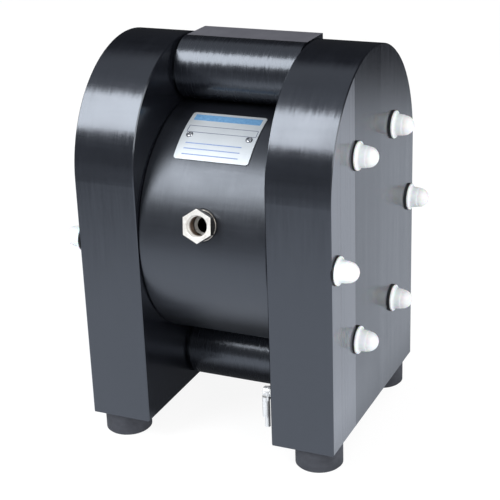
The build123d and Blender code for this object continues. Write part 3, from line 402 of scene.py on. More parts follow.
def plated_fitting(name):
    """Nickel-plated brass: satin outside; down the threaded bore a brass brown that darkens with depth as
    painted shade, near black in the runout, and a step at its end whose bright plating is partly a painted
    highlight.
    """
    finish = Finish(name)
    outwards = direction(0, INLET_ELEVATION)
    from_axis = finish.vector_maths("SUBTRACT", finish.place(), (0, 0, PUMP_AXIS_Z))
    height = finish.along(from_axis, outwards)
    off_centre = finish.vector_maths("SUBTRACT", from_axis, finish.stretch(outwards, height))
    depth = finish.maths("SUBTRACT", INLET_FACE, height)
    inside = finish.maths("LESS_THAN", finish.length(off_centre), INLET_MOUTH + MOUTH_MARGIN)
    below_face = finish.maths("GREATER_THAN", depth, INLET_EDGE)
    on_side = finish.times(below_face, finish.maths("SUBTRACT", 1.0, inside))
    # Painted shade: the bore's colour darkens with depth from the mouth.
    bore_shade = finish.times(inside, finish.ramp(depth, BORE_SHADE_START, BORE_SHADE_FULL, 0.0, 1.0))
    in_runout = finish.times(inside, finish.maths("GREATER_THAN", depth, RUNOUT_START))
    off_step = finish.maths("ABSOLUTE", finish.maths("SUBTRACT", depth, INLET_DEPTH))
    on_step = finish.times(inside, finish.maths("LESS_THAN", off_step, STEP_HALF_WIDTH))
    marks = finish.grain((500, 500, 500), detail=4.0, rough=0.7)
    colour = finish.mix_colour(on_side, finish.tint(marks, *PLATING), finish.tint(marks, *PLATED_SIDE))
    colour = finish.mix_colour(bore_shade, colour, finish.tint(marks, *BORE_BRASS_AND_SHADE))
    # Painted shade in the runout groove.
    colour = finish.mix_colour(in_runout, colour, RUNOUT_SHADE)
    # Partly painted highlight on the step.
    colour = finish.mix_colour(on_step, colour, STEP_PLATING_AND_HIGHLIGHT)
    finish.link(finish.mix(on_side, finish.mix(on_step, 0.5, 0.0), 1.0), "Metallic")
    roughness = finish.mix(on_side, finish.spread(marks, 0.36, 0.55), 0.22)
    return finish.dress(colour, roughness, marks, 0.01 * MM, 0.6)


# ---------------------------------------------------------------- materials on the CAD nodes
EVEN_GRAIN = (900, 900, 900)
TURNED_GRAIN = (900, 200, 200)

NICKEL = metal("nickel_plate", (0.36, 0.33, 0.29, 1), (0.50, 0.46, 0.41, 1), 0.34, (500, 500, 500))
FITTING = plated_fitting("plated_fitting")
STEEL = metal("stainless", (0.50, 0.51, 0.53, 1), (0.68, 0.69, 0.70, 1), 0.28, TURNED_GRAIN)
SHAFT_STEEL = metal("ground_shaft", (0.55, 0.56, 0.58, 1), (0.70, 0.71, 0.72, 1), 0.16, (2000, 60, 60))
BRASS = metal("brass", (0.60, 0.42, 0.16, 1), (0.78, 0.58, 0.26, 1), 0.26, (1200, 150, 150))
SPRING = metal("spring_steel", (0.20, 0.20, 0.22, 1), (0.32, 0.32, 0.34, 1), 0.35, (600, 600, 600))
TINNED = metal(
    "tinned_copper", (0.74, 0.74, 0.73, 1), (0.90, 0.90, 0.89, 1), 0.42, (700, 700, 200), metallic=0.55
)
RIVET = metal("rivet", (0.44, 0.45, 0.47, 1), (0.62, 0.63, 0.65, 1), 0.22, EVEN_GRAIN)
CORE = metal("turned_aluminium", (0.50, 0.50, 0.51, 1), (0.66, 0.66, 0.67, 1), 0.3, TURNED_GRAIN)
WHITE = white_plastic("white_cover")
RING = rubber("ring_rubber", grey(0.010), grey(0.022, 1.1), 0.5)
FOOT = rubber("foot_rubber", (0.032, 0.034, 0.042, 1), (0.058, 0.061, 0.073, 1), 0.58)
SEAL = rubber("seal_rubber", grey(0.008), grey(0.016), 0.42)
PLATE = plate_metal("nameplate_silver")
SILENCER = porous_plastic("sintered_plastic")
PTFE = plain_plastic("ptfe", (0.78, 0.78, 0.77, 1), (0.88, 0.88, 0.87, 1), 0.4, (700, 700, 700))
DIAPHRAGM = plain_plastic("diaphragm_face", (0.70, 0.70, 0.68, 1), (0.84, 0.84, 0.82, 1), 0.45, EVEN_GRAIN)
HOUSING = machined_polyethylene("housing_polyethylene", 0.19, 0.024 * MM, 2.0, banded=True)
BLOCK = machined_polyethylene("block_polyethylene", 0.35, 0.018 * MM, 1.5)
MANIFOLD = milled_manifold("manifold_polyethylene")
BLUE_INK = ink("blue_ink", (0.10, 0.25, 0.46, 1), (0.18, 0.37, 0.60, 1))
LINE_INK = ink("dark_ink", (0.06, 0.07, 0.14, 1), (0.13, 0.15, 0.24, 1))
RULE_INK = ink("rule_ink", (0.20, 0.28, 0.50, 1), (0.28, 0.37, 0.60, 1))

FINISHED_NODES = (
    (HOUSING, "housing_left housing_right"),
    (BLOCK, "centre_block"),
    (MANIFOLD, "outlet_manifold inlet_manifold"),
    (SEAL, "manifold_o_rings backup_o_rings plug_seals shaft_seals air_valve_o_rings air_inlet_seal"),
    (RING, "cover_rings"),
    (WHITE, "protective_covers"),
    (STEEL, "tie_rods rod_nuts rod_washers pin_screws foot_studs"),
    (TINNED, "earth_stud earth_washer earth_nuts earth_lug"),
    (FOOT, "foot_front_left foot_front_right foot_rear_left foot_rear_right"),
    (PLATE, "nameplate"),
    (RIVET, "nameplate_rivets"),
    (NICKEL, "air_inlet_adapter air_inlet_washer"),
    (SILENCER, "exhaust_silencer"),
    (BRASS, "air_valve_sleeve"),
    (SHAFT_STEEL, "air_valve_spool diaphragm_shaft"),
    (SPRING, "air_valve_circlips"),
    (DIAPHRAGM, "diaphragm_left diaphragm_right"),
    (CORE, "diaphragm_core_left diaphragm_core_right air_valve_end_caps valve_plugs"),
    (PTFE, "inlet_valve_seats outlet_valve_seats inlet_ball_stops outlet_ball_stops"),
    (PTFE, "inlet_ball_left inlet_ball_right outlet_ball_left outlet_ball_right"),
)


def dress_cad_nodes():
    for material, names in FINISHED_NODES:
        for name in names.split():
            slots = NODES[name].data.materials
            for index in range(len(slots)):
                slots[index] = material


dress_cad_nodes()


# ---------------------------------------------------------------- camera, solved from the photo
CAMERA_PLACE = Vector((0.3236, -0.7129, 0.4166))
CAMERA_AZIMUTH = 24.58
CAMERA_DOWN = 21.56
CAMERA_ROLL = 2.04
CAMERA_LENS = 96.02
SENSOR = 36.0


def make_camera():
    data = bpy.data.cameras.new("camera")
    data.lens = CAMERA_LENS
    data.sensor_width = SENSOR
    camera = link_object("camera", data)
    turn = Matrix.Rotation(math.radians(CAMERA_AZIMUTH), 4, "Z")
    tilt = Matrix.Rotation(math.radians(90 - CAMERA_DOWN), 4, "X")
    roll = Matrix.Rotation(-math.radians(CAMERA_ROLL), 4, "Z")
    camera.matrix_world = Matrix.Translation(CAMERA_PLACE) @ turn @ tilt @ roll
    bpy.context.scene.camera = camera


# ---------------------------------------------------------------- lamps, floor and room
def make_softbox(name, azimuth, elevation, distance, width, height, radiance, colour, roll=0):
    """A rectangular lamp that faces the middle of the pump."""
    data = bpy.data.lights.new(name, "AREA")
    data.shape = "RECTANGLE"
    data.size = width
    data.size_y = height
    data.energy = radiance * math.pi * width * height
    data.color = colour
    lamp = link_object(name, data)
    towards = direction(azimuth, elevation)
    lamp.location = Vector((0, 0, PUMP_AXIS_Z)) + towards * distance
    facing = (-towards).to_track_quat("-Z", "Y").to_matrix()
    lamp.rotation_euler = (facing @ Matrix.Rotation(math.radians(roll), 3, "Z")).to_euler()


PLAIN_WHITE = (1, 1, 1, 1)
STUDIO_TINT = (0.85, 0.905, 1.0, 1)

FLOOR_HALF = 4.0
FLOOR_DROP = 0.2 * MM

# What the camera sees of the floor: a white glow and, for the rest, lit paper that holds the shadow.
FLOOR_WHITE = 1.12
FLOOR_WHITE_SHARE = 0.8

# What gloss sees of the floor: a pool of light round a centre, which fades across its edge.
POOL_CENTRE = (0.10, 0.12, 0.0)
POOL_EDGE = (0.5, 0.88)
POOL_LIGHT = (1.32, 0.42)
# It dims along Y: a little beside the pump, and almost to nothing far behind it.
REAR_EDGE = (0.65, 0.95)
REAR_SHARE = 0.1
BESIDE_EDGE = (-0.06, 0.08)
BESIDE_SHARE = 0.78
# It is nearly dark under the pump, in a rectangle with a soft edge.
SHADE_CENTRE = (-0.01, 0.035)
SHADE_HALF = (0.085, 0.09)
SHADE_EDGE = (-0.02, 0.03)
SHADE_LIGHT = 0.08


def floor_in_reflections(nodes):
    """Strength of the floor as gloss sees it."""
    point = nodes.add("ShaderNodeNewGeometry", {}, "Position")
    distance = nodes.length(nodes.vector_maths("SUBTRACT", point, POOL_CENTRE))
    pool = nodes.ramp(distance, *POOL_EDGE, *POOL_LIGHT)
    place = nodes.split(point)
    reach = []
    for axis, centre, half in zip("XY", SHADE_CENTRE, SHADE_HALF):
        off_centre = nodes.maths("ABSOLUTE", nodes.maths("SUBTRACT", place[axis], centre))
        reach.append(nodes.maths("SUBTRACT", off_centre, half))
    shade = nodes.ramp(nodes.maths("MAXIMUM", *reach), *SHADE_EDGE, SHADE_LIGHT, 1.0)
    beside = nodes.ramp(place["Y"], *BESIDE_EDGE, 1.0, BESIDE_SHARE)
    rear = nodes.ramp(place["Y"], *REAR_EDGE, 1.0, REAR_SHARE)
    return nodes.times(nodes.times(pool, shade), nodes.times(beside, rear))


def floor_paper():
    """Pale paper: white to the camera with a faint shadow, and a pool of light in reflections."""
    material = bpy.data.materials.new("floor_paper")
    nodes = NodeTree(material)
    surface = nodes.tree.nodes["Principled BSDF"]
    surface.inputs["Base Color"].default_value = (0.86, 0.86, 0.86, 1)
    surface.inputs["Roughness"].default_value = 0.9
    mirrored = nodes.mirrored()
    strength = nodes.mix(mirrored, FLOOR_WHITE, floor_in_reflections(nodes))
    tint = nodes.mix_colour(mirrored, PLAIN_WHITE, STUDIO_TINT)
    glow = nodes.add("ShaderNodeEmission", {"Color": tint, "Strength": strength})
    share = nodes.maths("MAXIMUM", nodes.times(nodes.ray("Camera"), FLOOR_WHITE_SHARE), mirrored)
    blend = nodes.add("ShaderNodeMixShader", {0: share, 1: surface.outputs[0], 2: glow})
    nodes.tree.links.new(blend, nodes.tree.nodes["Material Output"].inputs["Surface"])
    return material


def make_floor():
    mesh = bpy.data.meshes.new("floor")
    corners = [(-1, -1), (1, -1), (1, 1), (-1, 1)]
    points = [(x * FLOOR_HALF, y * FLOOR_HALF, -FLOOR_DROP) for x, y in corners]
    mesh.from_pydata(points, [], [(0, 1, 2, 3)])
    mesh.materials.append(floor_paper())
    floor = link_object("floor", mesh)


# The room's light on matt surfaces, then what gloss sees: walls, a paler front and a ceiling. The
# edges are parts of a unit vector: FRONT and CEILING_REAR along Y, CEILING along Z.
ROOM_LIGHT = 0.55
WALL_LIGHT = 0.03
FRONT_LIGHT = 0.22
FRONT_EDGE = (0.0, -0.4)
CEILING_LIGHT = 0.5
CEILING_EDGE = (0.76, 0.84)
CEILING_REAR_EDGE = (0.4, 0.55)


def make_world():
    """White behind the object, an even room light, and in reflections a dim room with a pale ceiling."""
    world = bpy.data.worlds.new("studio")
    bpy.context.scene.world = world
    nodes = NodeTree(world)
    way = nodes.split(nodes.add("ShaderNodeTexCoord", {}, "Generated"))
    front = nodes.ramp(way["Y"], *FRONT_EDGE, WALL_LIGHT, WALL_LIGHT + FRONT_LIGHT)
    ceiling = nodes.ramp(way["Z"], *CEILING_EDGE, 0.0, CEILING_LIGHT)
    ceiling = nodes.times(ceiling, nodes.ramp(way["Y"], *CEILING_REAR_EDGE, 1.0, 0.0))
    mirrored = nodes.mirrored()
    lit = nodes.mix(mirrored, ROOM_LIGHT, nodes.maths("ADD", front, ceiling))
    strength = nodes.mix(nodes.ray("Camera"), lit, 1.0)
    tint = nodes.mix_colour(mirrored, PLAIN_WHITE, STUDIO_TINT)
    back = nodes.tree.nodes["Background"]
    nodes.tree.links.new(tint, back.inputs["Color"])
    nodes.tree.links.new(strength, back.inputs["Strength"])


make_camera()
make_floor()
make_world()
make_softbox("key", -36, 42.8, 1.3, 0.62, 0.72, radiance=8.2, colour=(0.94, 0.965, 1.0), roll=20)
make_softbox("side", 62, 28, 1.5, 1.1, 1.1, radiance=3.3, colour=(0.99, 0.995, 1.0))
bpy.context.scene.view_settings.view_transform = "Standard"


# ---------------------------------------------------------------- mesh helpers
FLAT_AREA = 30 * MM * MM
NEARLY_SQUARE = 0.9999

# A skin that closes on its axis ends in a face of this radius, in millimetres.
AXIS_RADIUS = 0.02


def is_milled_flat(polygon):
    """A large face square to the pump; a turned front has none."""
    normal = polygon.normal
    return polygon.area > FLAT_AREA and max(abs(normal.x), normal.y, abs(normal.z)) > NEARLY_SQUARE


def mesh_from(name, bm):
    mesh = bpy.data.meshes.new(name)
    bm.to_mesh(mesh)
    bm.free()
    return mesh


def finish_piece(name, bm, material, body, slot, sharp_angle=30, milled_flats=False):
    """Turn a bmesh into a piece that rides on a body. Its slot is not used."""
    bmesh.ops.recalc_face_normals(bm, faces=bm.faces)
    mesh = mesh_from(name, bm)
    mesh.polygons.foreach_set("use_smooth", [True] * len(mesh.polygons))
    mesh.set_sharp_from_angle(angle=math.radians(sharp_angle))
    for polygon in mesh.polygons:
        if milled_flats and is_milled_flat(polygon):
            polygon.use_smooth = False
    mesh.materials.append(material)
    piece = link_object(name, mesh)
    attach(piece, body)
    return piece


def bridge(bm, first, second):
    """Faces between two closed loops of corners."""
    for index, corner in enumerate(first):
        other = (index + 1) % len(first)
        bm.faces.new((corner, first[other], second[other], second[index]))


def turned_skin(bm, rows, sides, place, closed=True):
    """A skin round the local Z axis. A row is (radius, height), or gives that for an angle."""
    loops = []
    for row in rows:
        loop = []
        for index in range(sides):
            angle = FULL_TURN * index / sides
            radius, height = row(angle) if callable(row) else row
            point = Vector((radius * math.cos(angle), radius * math.sin(angle), height))
            loop.append(bm.verts.new(place @ point))
        loops.append(loop)
    for first, second in zip(loops, loops[1:]):
        bridge(bm, first, second)
    if closed:
        bridge(bm, loops[-1], loops[0])
    else:
        bm.faces.new(loops[0])
        bm.faces.new(loops[-1])


def scaled(rows):
    """Rows in metres from rows in millimetres."""
    return [(radius * MM, height * MM) for radius, height in rows]


def turned(rows, sides, place, closed=True):
    """A new bmesh with one turned skin."""
    bm = bmesh.new()
    turned_skin(bm, rows, sides, place, closed)
    return bm


def quarter(steps):
    """Sine and cosine of evenly spaced angles from 0 to 90 degrees."""
    angles = [math.pi / 2 * step / steps for step in range(steps + 1)]
    return [(math.sin(angle), math.cos(angle)) for angle in angles]


def hex_radius(angle, flats):
    """Distance from a hexagon's centre to its side; a corner lies at angle 0."""
    within = (math.degrees(angle) % 60) - 30
    return flats / 2 / math.cos(math.radians(within))


def place_on(origin, outwards, up):
    """Local Z points outwards and local X up."""
    z_axis = outwards.normalized()
    x_axis = (up - up.dot(z_axis) * z_axis).normalized()
    y_axis = z_axis.cross(x_axis)
    turn = Matrix((x_axis, y_axis, z_axis)).transposed().to_4x4()
    return Matrix.Translation(origin) @ turn


THREAD_LAND = 0.12


def thread_radius(angle, height, pitch, crest, root):
    """Radius of a thread at an angle and a height: crests and roots with a short land on each."""
    phase = (height / pitch - angle / FULL_TURN) % 1.0
    rise = abs(2 * phase - 1)
    share = min(max((rise - THREAD_LAND) / (1 - 2 * THREAD_LAND), 0.0), 1.0)
    return crest + (root - crest) * share


def thread_rows(start, length, pitch, crest, root, to_height, rows_per_pitch=8, tapered=False):
    """Rows down a threaded wall. A tapered one starts at the root and is full after one pitch."""
    rows = []
    for step in range(int(length / pitch * rows_per_pitch)):
        along = start + pitch * step / rows_per_pitch
        taper = max(0.0, 1.0 - step / rows_per_pitch) if tapered else 0.0

        def wall(angle, along=along, taper=taper):
            radius = thread_radius(angle, along, pitch, crest, root)
            return radius + (root - radius) * taper, to_height(along)

        rows.append(wall)
    return rows


# ---------------------------------------------------------------- air inlet
INLET_SIDES = 96
INLET_THREAD_START = 0.7 * MM
INLET_SEAL_ROUNDING = 0.7 * MM
INLET_WASHER_ROUNDING = 0.45 * MM


def inlet_place():
    """From the pump's axis out along the fitting, with a corner of the hexagon up."""
    outwards = direction(0, INLET_ELEVATION)
    across = Vector((1, 0, 0))
    upwards = outwards.cross(across)
    turn = math.radians(INLET_TURN)
    up = upwards * math.cos(turn) - across * math.sin(turn)
    return place_on(Vector((0, 0, PUMP_AXIS_Z)), outwards, up)


def below_inlet_face(depth):
    return INLET_FACE - depth


def hexagon_row(inset, height):
    """A row round the inlet's hexagon, inset from its flats."""
    return lambda angle: (hex_radius(angle, INLET_ACROSS_FLATS - 2 * inset), height)


def make_inlet_adapter():
    """The hexagon and its face, the countersunk mouth, the thread, and the bore through the shank."""
    outside = [
        (INLET_SHANK, INLET_HEX_BACK),
        hexagon_row(0, INLET_HEX_BACK),
        hexagon_row(0, below_inlet_face(INLET_EDGE)),
        hexagon_row(INLET_EDGE, INLET_FACE),
    ]
    mouth = [
        (INLET_MOUTH + 0.5 * MM, INLET_FACE),
        (INLET_MOUTH + 0.2 * MM, below_inlet_face(0.06 * MM)),
        (INLET_MOUTH, below_inlet_face(0.22 * MM)),
    ]
    size = (INLET_THREAD_DEPTH, INLET_PITCH, INLET_CREST, INLET_ROOT)
    thread = thread_rows(INLET_THREAD_START, *size, below_inlet_face, rows_per_pitch=10, tapered=True)
    end_of_thread = [
        (INLET_ROOT, below_inlet_face(INLET_THREAD_DEPTH + 0.4 * MM)),
        (INLET_ROOT, below_inlet_face(INLET_DEPTH - 0.2 * MM)),
        (INLET_ROOT - 0.2 * MM, below_inlet_face(INLET_DEPTH)),
    ]
    bore = [
        (INLET_BORE + 0.25 * MM, below_inlet_face(INLET_DEPTH)),
        (INLET_BORE, below_inlet_face(INLET_DEPTH + 0.25 * MM)),
        (INLET_BORE, INLET_SHANK_END),
        (INLET_SHANK, INLET_SHANK_END),
    ]
    bm = turned(outside + mouth + thread + end_of_thread + bore, INLET_SIDES, inlet_place())
    piece = finish_piece("threaded_inlet", bm, FITTING, "pump", "nickel")
    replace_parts(piece, "air_inlet_adapter")


def ring_rows(radius, low, high, rounding):
    """A ring's section, with a small chamfer behind and a rounded outer edge in front."""
    rows = [(INLET_RING_HOLE, low), (radius - rounding / 3, low), (radius, low + rounding / 3)]
    for sine, cosine in quarter(6):
        rows.append((radius - rounding * (1 - cosine), high - rounding * (1 - sine)))
    rows.append((INLET_RING_HOLE, high))
    return rows


def make_inlet_ring(name, node, rows, material, slot):
    bm = turned(rows, INLET_SIDES, inlet_place())
    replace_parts(finish_piece(name, bm, material, "pump", slot), node)


def make_inlet_rings():
    """The black seal and the thin bright washer behind the hexagon."""
    seal = ring_rows(INLET_SEAL_RADIUS, INLET_WASHER_TOP, INLET_HEX_BACK, INLET_SEAL_ROUNDING)
    make_inlet_ring("rounded_seal", "air_inlet_seal", seal, SEAL, "seal_black")
    washer = ring_rows(INLET_WASHER_RADIUS, INLET_SEAT, INLET_WASHER_TOP, INLET_WASHER_ROUNDING)
    make_inlet_ring("rounded_washer", "air_inlet_washer", washer, NICKEL, "nickel")


make_inlet_adapter()
make_inlet_rings()


# ---------------------------------------------------------------- covers of the tie rod ends
ROD_CIRCLE = 66.2 * MM
ROD_COUNT = 6
COVER_SIDES = 48

# A cover's own sizes, and its rows of (radius, height), are in millimetres.
COVER_DOME_RADIUS = 6.1
COVER_DOME_BASE = 6.2
COVER_NECK_RADIUS = 8.0
COVER_NECK_NARROWING = 1.42
COVER_NECK_BASE = 1.08
COVER_NECK_HEIGHT = 1.7
COVER_BORE_ROWS = [(AXIS_RADIUS, 9.4), (3.5, 9.4), (3.5, 5.5), (5.85, 5.5), (5.85, 0.0)]
COVER_FLANGE_ROWS = [(8.25, 0.0), (8.4, 0.08), (8.45, 0.25), (8.45, 0.75), (8.38, 0.95), (8.2, 1.06)]
COVER_BODY_ROWS = [(6.5, 4.2), (6.34, 5.7), (6.28, 5.95), (6.14, 6.12)]
COVER_TIP_ROWS = [(0.4, 12.28), (AXIS_RADIUS, 12.3)]


def cover_profile():
    """Radius and height from the bore's end out to the tip, in millimetres."""
    neck = []
    for sine, cosine in quarter(6):
        radius = COVER_NECK_RADIUS - COVER_NECK_NARROWING * sine
        neck.append((radius, COVER_NECK_BASE + COVER_NECK_HEIGHT * (1 - cosine)))
    dome = []
    for sine, cosine in quarter(12)[:-1]:
        dome.append((COVER_DOME_RADIUS * cosine, COVER_DOME_BASE + COVER_DOME_RADIUS * sine))
    return COVER_BORE_ROWS + COVER_FLANGE_ROWS + neck + COVER_BODY_ROWS + dome + COVER_TIP_ROWS


def make_covers():
    profile = scaled(cover_profile())
    bm = bmesh.new()
    for side, start in ((-1, RINGS_LOW.x), (1, RINGS_HIGH.x)):
        for index in range(ROD_COUNT):
            angle = FULL_TURN * index / ROD_COUNT
            y, z = ROD_CIRCLE * math.cos(angle), PUMP_AXIS_Z + ROD_CIRCLE * math.sin(angle)
            place = place_on(Vector((start, y, z)), Vector((side, 0, 0)), Vector((0, 0, 1)))
            turned_skin(bm, profile, COVER_SIDES, place, closed=False)
    piece = finish_piece("moulded_covers", bm, WHITE, "pump", "cover_white", sharp_angle=35)
    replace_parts(piece, "protective_covers")


make_covers()


# ---------------------------------------------------------------- nameplate print and rivets
# Elevations are degrees round the pump's axis, from the front up.
PRINT_HEIGHT = 0.05 * MM
BAND_X = (-23.0 * MM, 20.0 * MM)
BAND_ELEVATIONS = (67.0, 71.2)
BOX_X = (-23.3 * MM, 20.9 * MM)
BOX_ELEVATIONS = (59.1, 63.0)
RULE_X = (-21.0 * MM, 15.0 * MM)
RULE_ELEVATIONS = (46.6, 49.6, 52.6)
LINE_WIDTH = 0.34 * MM
LINE_ANGLE = math.degrees(LINE_WIDTH / PLATE_RADIUS)
RULE_ANGLE = 2 * LINE_ANGLE


def on_block(x, elevation, radius):
    """A point at a radius from the pump's axis, raised from the front."""
    lift = math.radians(elevation)
    return Vector((x, -radius * math.cos(lift), PUMP_AXIS_Z + radius * math.sin(lift)))


def add_print(bm, x_range, elevations, steps=12):
    """A thin slab rolled to the plate."""
    left, right = x_range
    top = PLATE_RADIUS + PRINT_HEIGHT
    corners = ((left, PLATE_RADIUS), (right, PLATE_RADIUS), (right, top), (left, top))
    rings = []
    for step in range(steps + 1):
        elevation = elevations[0] + (elevations[1] - elevations[0]) * step / steps
        rings.append([bm.verts.new(on_block(x, elevation, radius)) for x, radius in corners])
    for first, second in zip(rings, rings[1:]):
        bridge(bm, first, second)
    bm.faces.new(rings[0])
    bm.faces.new(rings[-1])


def make_print():
    """A plain blue band, an empty ruled box and three blank lines."""
    band = bmesh.new()
    add_print(band, BAND_X, BAND_ELEVATIONS)
    finish_piece("plate_band", band, BLUE_INK, "pump", "plate")
    lines = bmesh.new()
    for elevation in BOX_ELEVATIONS:
        add_print(lines, BOX_X, (elevation, elevation + LINE_ANGLE), 2)
    for x in BOX_X:
        add_print(lines, (x, x + LINE_WIDTH), BOX_ELEVATIONS)
    finish_piece("plate_box", lines, LINE_INK, "pump", "plate")
    rules = bmesh.new()
    for elevation in RULE_ELEVATIONS:
        add_print(rules, RULE_X, (elevation, elevation + RULE_ANGLE), 2)
    finish_piece("plate_rules", rules, RULE_INK, "pump", "plate")


make_print()

RIVET_X = (-20.5 * MM, 17.7 * MM)
RIVET_ELEVATION = 57.5
RIVET_SIDES = 32

# Rows of (radius, height above the plate), in millimetres.
RIVET_SHANK_ROWS = [(AXIS_RADIUS, -4.5), (1.2, -4.5), (1.2, 0.02)]
RIVET_RIM_ROWS = [(2.1, 0.02), (2.2, 0.14), (2.12, 0.36), (1.9, 0.62), (1.6, 0.82)]
RIVET_GAP_ROWS = [(1.35, 0.88), (1.15, 0.84), (1.05, 0.7), (1.02, 0.25), (0.74, 0.22)]
RIVET_PIN_ROWS = [(0.72, 0.6), (0.62, 0.72), (0.3, 0.78), (AXIS_RADIUS, 0.8)]


def make_rivets():
    """Blind rivets: a domed rim, a dark gap and the bright end of the pin."""
    profile = scaled(RIVET_SHANK_ROWS + RIVET_RIM_ROWS + RIVET_GAP_ROWS + RIVET_PIN_ROWS)
    bm = bmesh.new()
    for x in RIVET_X:
        outwards = direction(0, RIVET_ELEVATION)
        place = place_on(on_block(x, RIVET_ELEVATION, PLATE_RADIUS), outwards, Vector((0, 0, 1)))
        turned_skin(bm, profile, RIVET_SIDES, place, closed=False)
    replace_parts(finish_piece("blind_rivets", bm, RIVET, "pump", "rivet"), "nameplate_rivets")


make_rivets()


# ---------------------------------------------------------------- earth terminal
EARTH_Y = (EARTH_LOW.y + EARTH_HIGH.y) / 2
EARTH_Z = (EARTH_LOW.z + EARTH_HIGH.z) / 2
EARTH_NUT_FLATS = 5.5 * MM
EARTH_NUT_HEIGHT = 2.4 * MM
EARTH_NUT_STARTS = (EARTH_NUTS_LOW.x, EARTH_NUTS_HIGH.x - EARTH_NUT_HEIGHT)
EARTH_THREAD_START = 0.15 * MM
EARTH_THREAD_END = EARTH_NUTS_HIGH.x
EARTH_RADIUS = 1.5 * MM
EARTH_THREAD_CORE = 1.22 * MM
EARTH_PITCH = 0.5 * MM
EARTH_STUD_SIDES = 24
NUT_SIDES = 48
NUT_HOLE = EARTH_RADIUS + 0.06 * MM
NUT_HOLE_BREAK = 0.2 * MM

# A nut's corners are turned off at about 30 degrees, from just outside the circle in its flats.
NUT_CORNER_CIRCLE = EARTH_NUT_FLATS / 2 * 1.02
NUT_CORNER_SLOPE = 0.577


def earth_place(x):
    return place_on(Vector((x, EARTH_Y, EARTH_Z)), Vector((1, 0, 0)), Vector((0, 1, 0)))


def nut_rows():
    """A hexagon nut with turned corners and a plain hole."""
    mouth = NUT_HOLE + NUT_HOLE_BREAK
    top = EARTH_NUT_HEIGHT

    def corners(height, inwards):
        def point(angle):
            radius = hex_radius(angle, EARTH_NUT_FLATS)
            return radius, height + inwards * max(radius - NUT_CORNER_CIRCLE, 0) * NUT_CORNER_SLOPE

        return point

    start_face = [(mouth, 0.0), (NUT_CORNER_CIRCLE, 0.0), corners(0.0, 1)]
    end_face = [corners(top, -1), (NUT_CORNER_CIRCLE, top), (mouth, top)]
    hole = [(NUT_HOLE, top - NUT_HOLE_BREAK), (NUT_HOLE, NUT_HOLE_BREAK)]
    return start_face + end_face + hole


def make_earth_nuts():
    bm = bmesh.new()
    for start in EARTH_NUT_STARTS:
        turned_skin(bm, nut_rows(), NUT_SIDES, earth_place(start))
    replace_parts(finish_piece("hexagon_earth_nuts", bm, TINNED, "pump", "tinned"), "earth_nuts")


def make_earth_stud():
    """A stud that is threaded as far as the housing, and plain inside it."""
    start = EARTH_STUD_LOW.x
    length = EARTH_STUD_HIGH.x - start
    threaded = EARTH_THREAD_END - start
    axis = AXIS_RADIUS * MM
    size = (EARTH_PITCH, EARTH_THREAD_CORE, EARTH_RADIUS)
    rows = [(axis, 0.0), (EARTH_THREAD_CORE, 0.0)]
    rows += thread_rows(EARTH_THREAD_START, threaded, *size, lambda height: height)
    rows += [(EARTH_THREAD_CORE, threaded + 0.2 * MM), (EARTH_THREAD_CORE, length), (axis, length)]
    bm = turned(rows, EARTH_STUD_SIDES, earth_place(start), closed=False)
    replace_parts(finish_piece("threaded_earth_stud", bm, TINNED, "pump", "tinned"), "earth_stud")


make_earth_nuts()
make_earth_stud()


# ---------------------------------------------------------------- threads of the rear ports
# The tap is a little narrower than the hole at its crests, so that it leaves them as they are.
PORT_CREST = MOUNTS["outlet_port"]["dims"]["r_mm"] * MM - 0.02 * MM
PORT_DEPTH = MOUNTS["outlet_port"]["dims"]["length_mm"] * MM
PORT_ROOT = 10.3 * MM
PORT_PITCH = 1.814 * MM
PORT_SIDES = 64
PORT_THREAD_START = 0.8 * MM
PORT_THREAD_LENGTH = PORT_DEPTH - 1.8 * MM
PORT_TAP_END = -PORT_DEPTH + 0.3 * MM
PORT_TAP_LEAD = 1.0 * MM


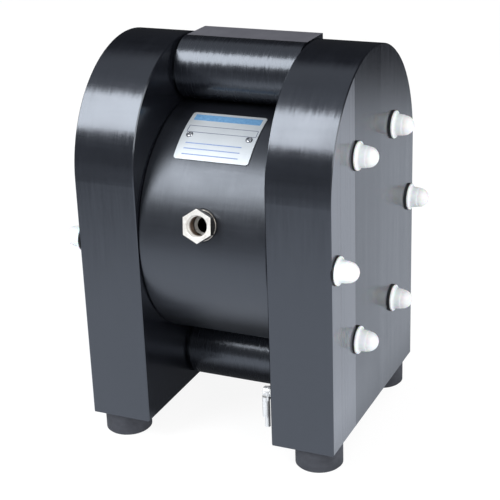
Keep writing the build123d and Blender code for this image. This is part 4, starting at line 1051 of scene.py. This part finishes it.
def thread_cutter(port_z, face_y):
    """The space that a tap leaves: crests at the port's hole, roots cut into the wall."""
    axis = AXIS_RADIUS * MM
    size = (PORT_PITCH, PORT_CREST, PORT_ROOT)
    rows = [(axis, PORT_TAP_LEAD), (PORT_ROOT + 0.9 * MM, PORT_TAP_LEAD), (PORT_ROOT + 0.5 * MM, 0.0)]
    rows += thread_rows(PORT_THREAD_START, PORT_THREAD_LENGTH, *size, lambda depth: -depth)
    rows += [(PORT_CREST, PORT_TAP_END), (axis, PORT_TAP_END)]
    place = place_on(Vector((0, face_y, port_z)), Vector((0, 1, 0)), Vector((0, 0, 1)))
    bm = turned(rows, PORT_SIDES, place, closed=False)
    bmesh.ops.recalc_face_normals(bm, faces=bm.faces)
    return link_object("port_tap", mesh_from("port_tap", bm))


def join_flats(bm):
    """Make each flat face whole again, so that it shades evenly."""
    bmesh.ops.remove_doubles(bm, verts=bm.verts, dist=0.001 * MM)
    bmesh.ops.dissolve_degenerate(bm, edges=bm.edges, dist=0.002 * MM)
    angle = math.radians(0.2)
    bmesh.ops.dissolve_limit(bm, angle_limit=angle, verts=bm.verts, edges=bm.edges, delimit={"NORMAL"})


def node_skin(node):
    """A copy of a CAD node's mesh, in place."""
    source = NODES[node]
    bm = bmesh.new()
    bm.from_mesh(source.data)
    bm.transform(source.matrix_world)
    join_flats(bm)
    return bm


def make_threaded_manifold(name, node, low, high):
    """The manifold with its port's thread cut into it."""
    body = link_object(name, mesh_from(name, node_skin(node)))
    cutter = thread_cutter((low.z + high.z) / 2, high.y)
    cut = body.modifiers.new("port_thread", "BOOLEAN")
    cut.operation = "DIFFERENCE"
    cut.object = cutter
    cut.solver = "EXACT"
    evaluated = body.evaluated_get(bpy.context.evaluated_depsgraph_get())
    threaded = bmesh.new()
    threaded.from_mesh(evaluated.to_mesh())
    join_flats(threaded)
    bpy.data.objects.remove(body)
    bpy.data.objects.remove(cutter)
    settings = {"sharp_angle": 25, "milled_flats": True}
    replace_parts(finish_piece(name, threaded, MANIFOLD, "pump", "manifold_pe", **settings), node)


make_threaded_manifold("threaded_outlet_manifold", "outlet_manifold", OUTLET_LOW, OUTLET_HIGH)
make_threaded_manifold("threaded_inlet_manifold", "inlet_manifold", INLET_MANIFOLD_LOW, INLET_MANIFOLD_HIGH)
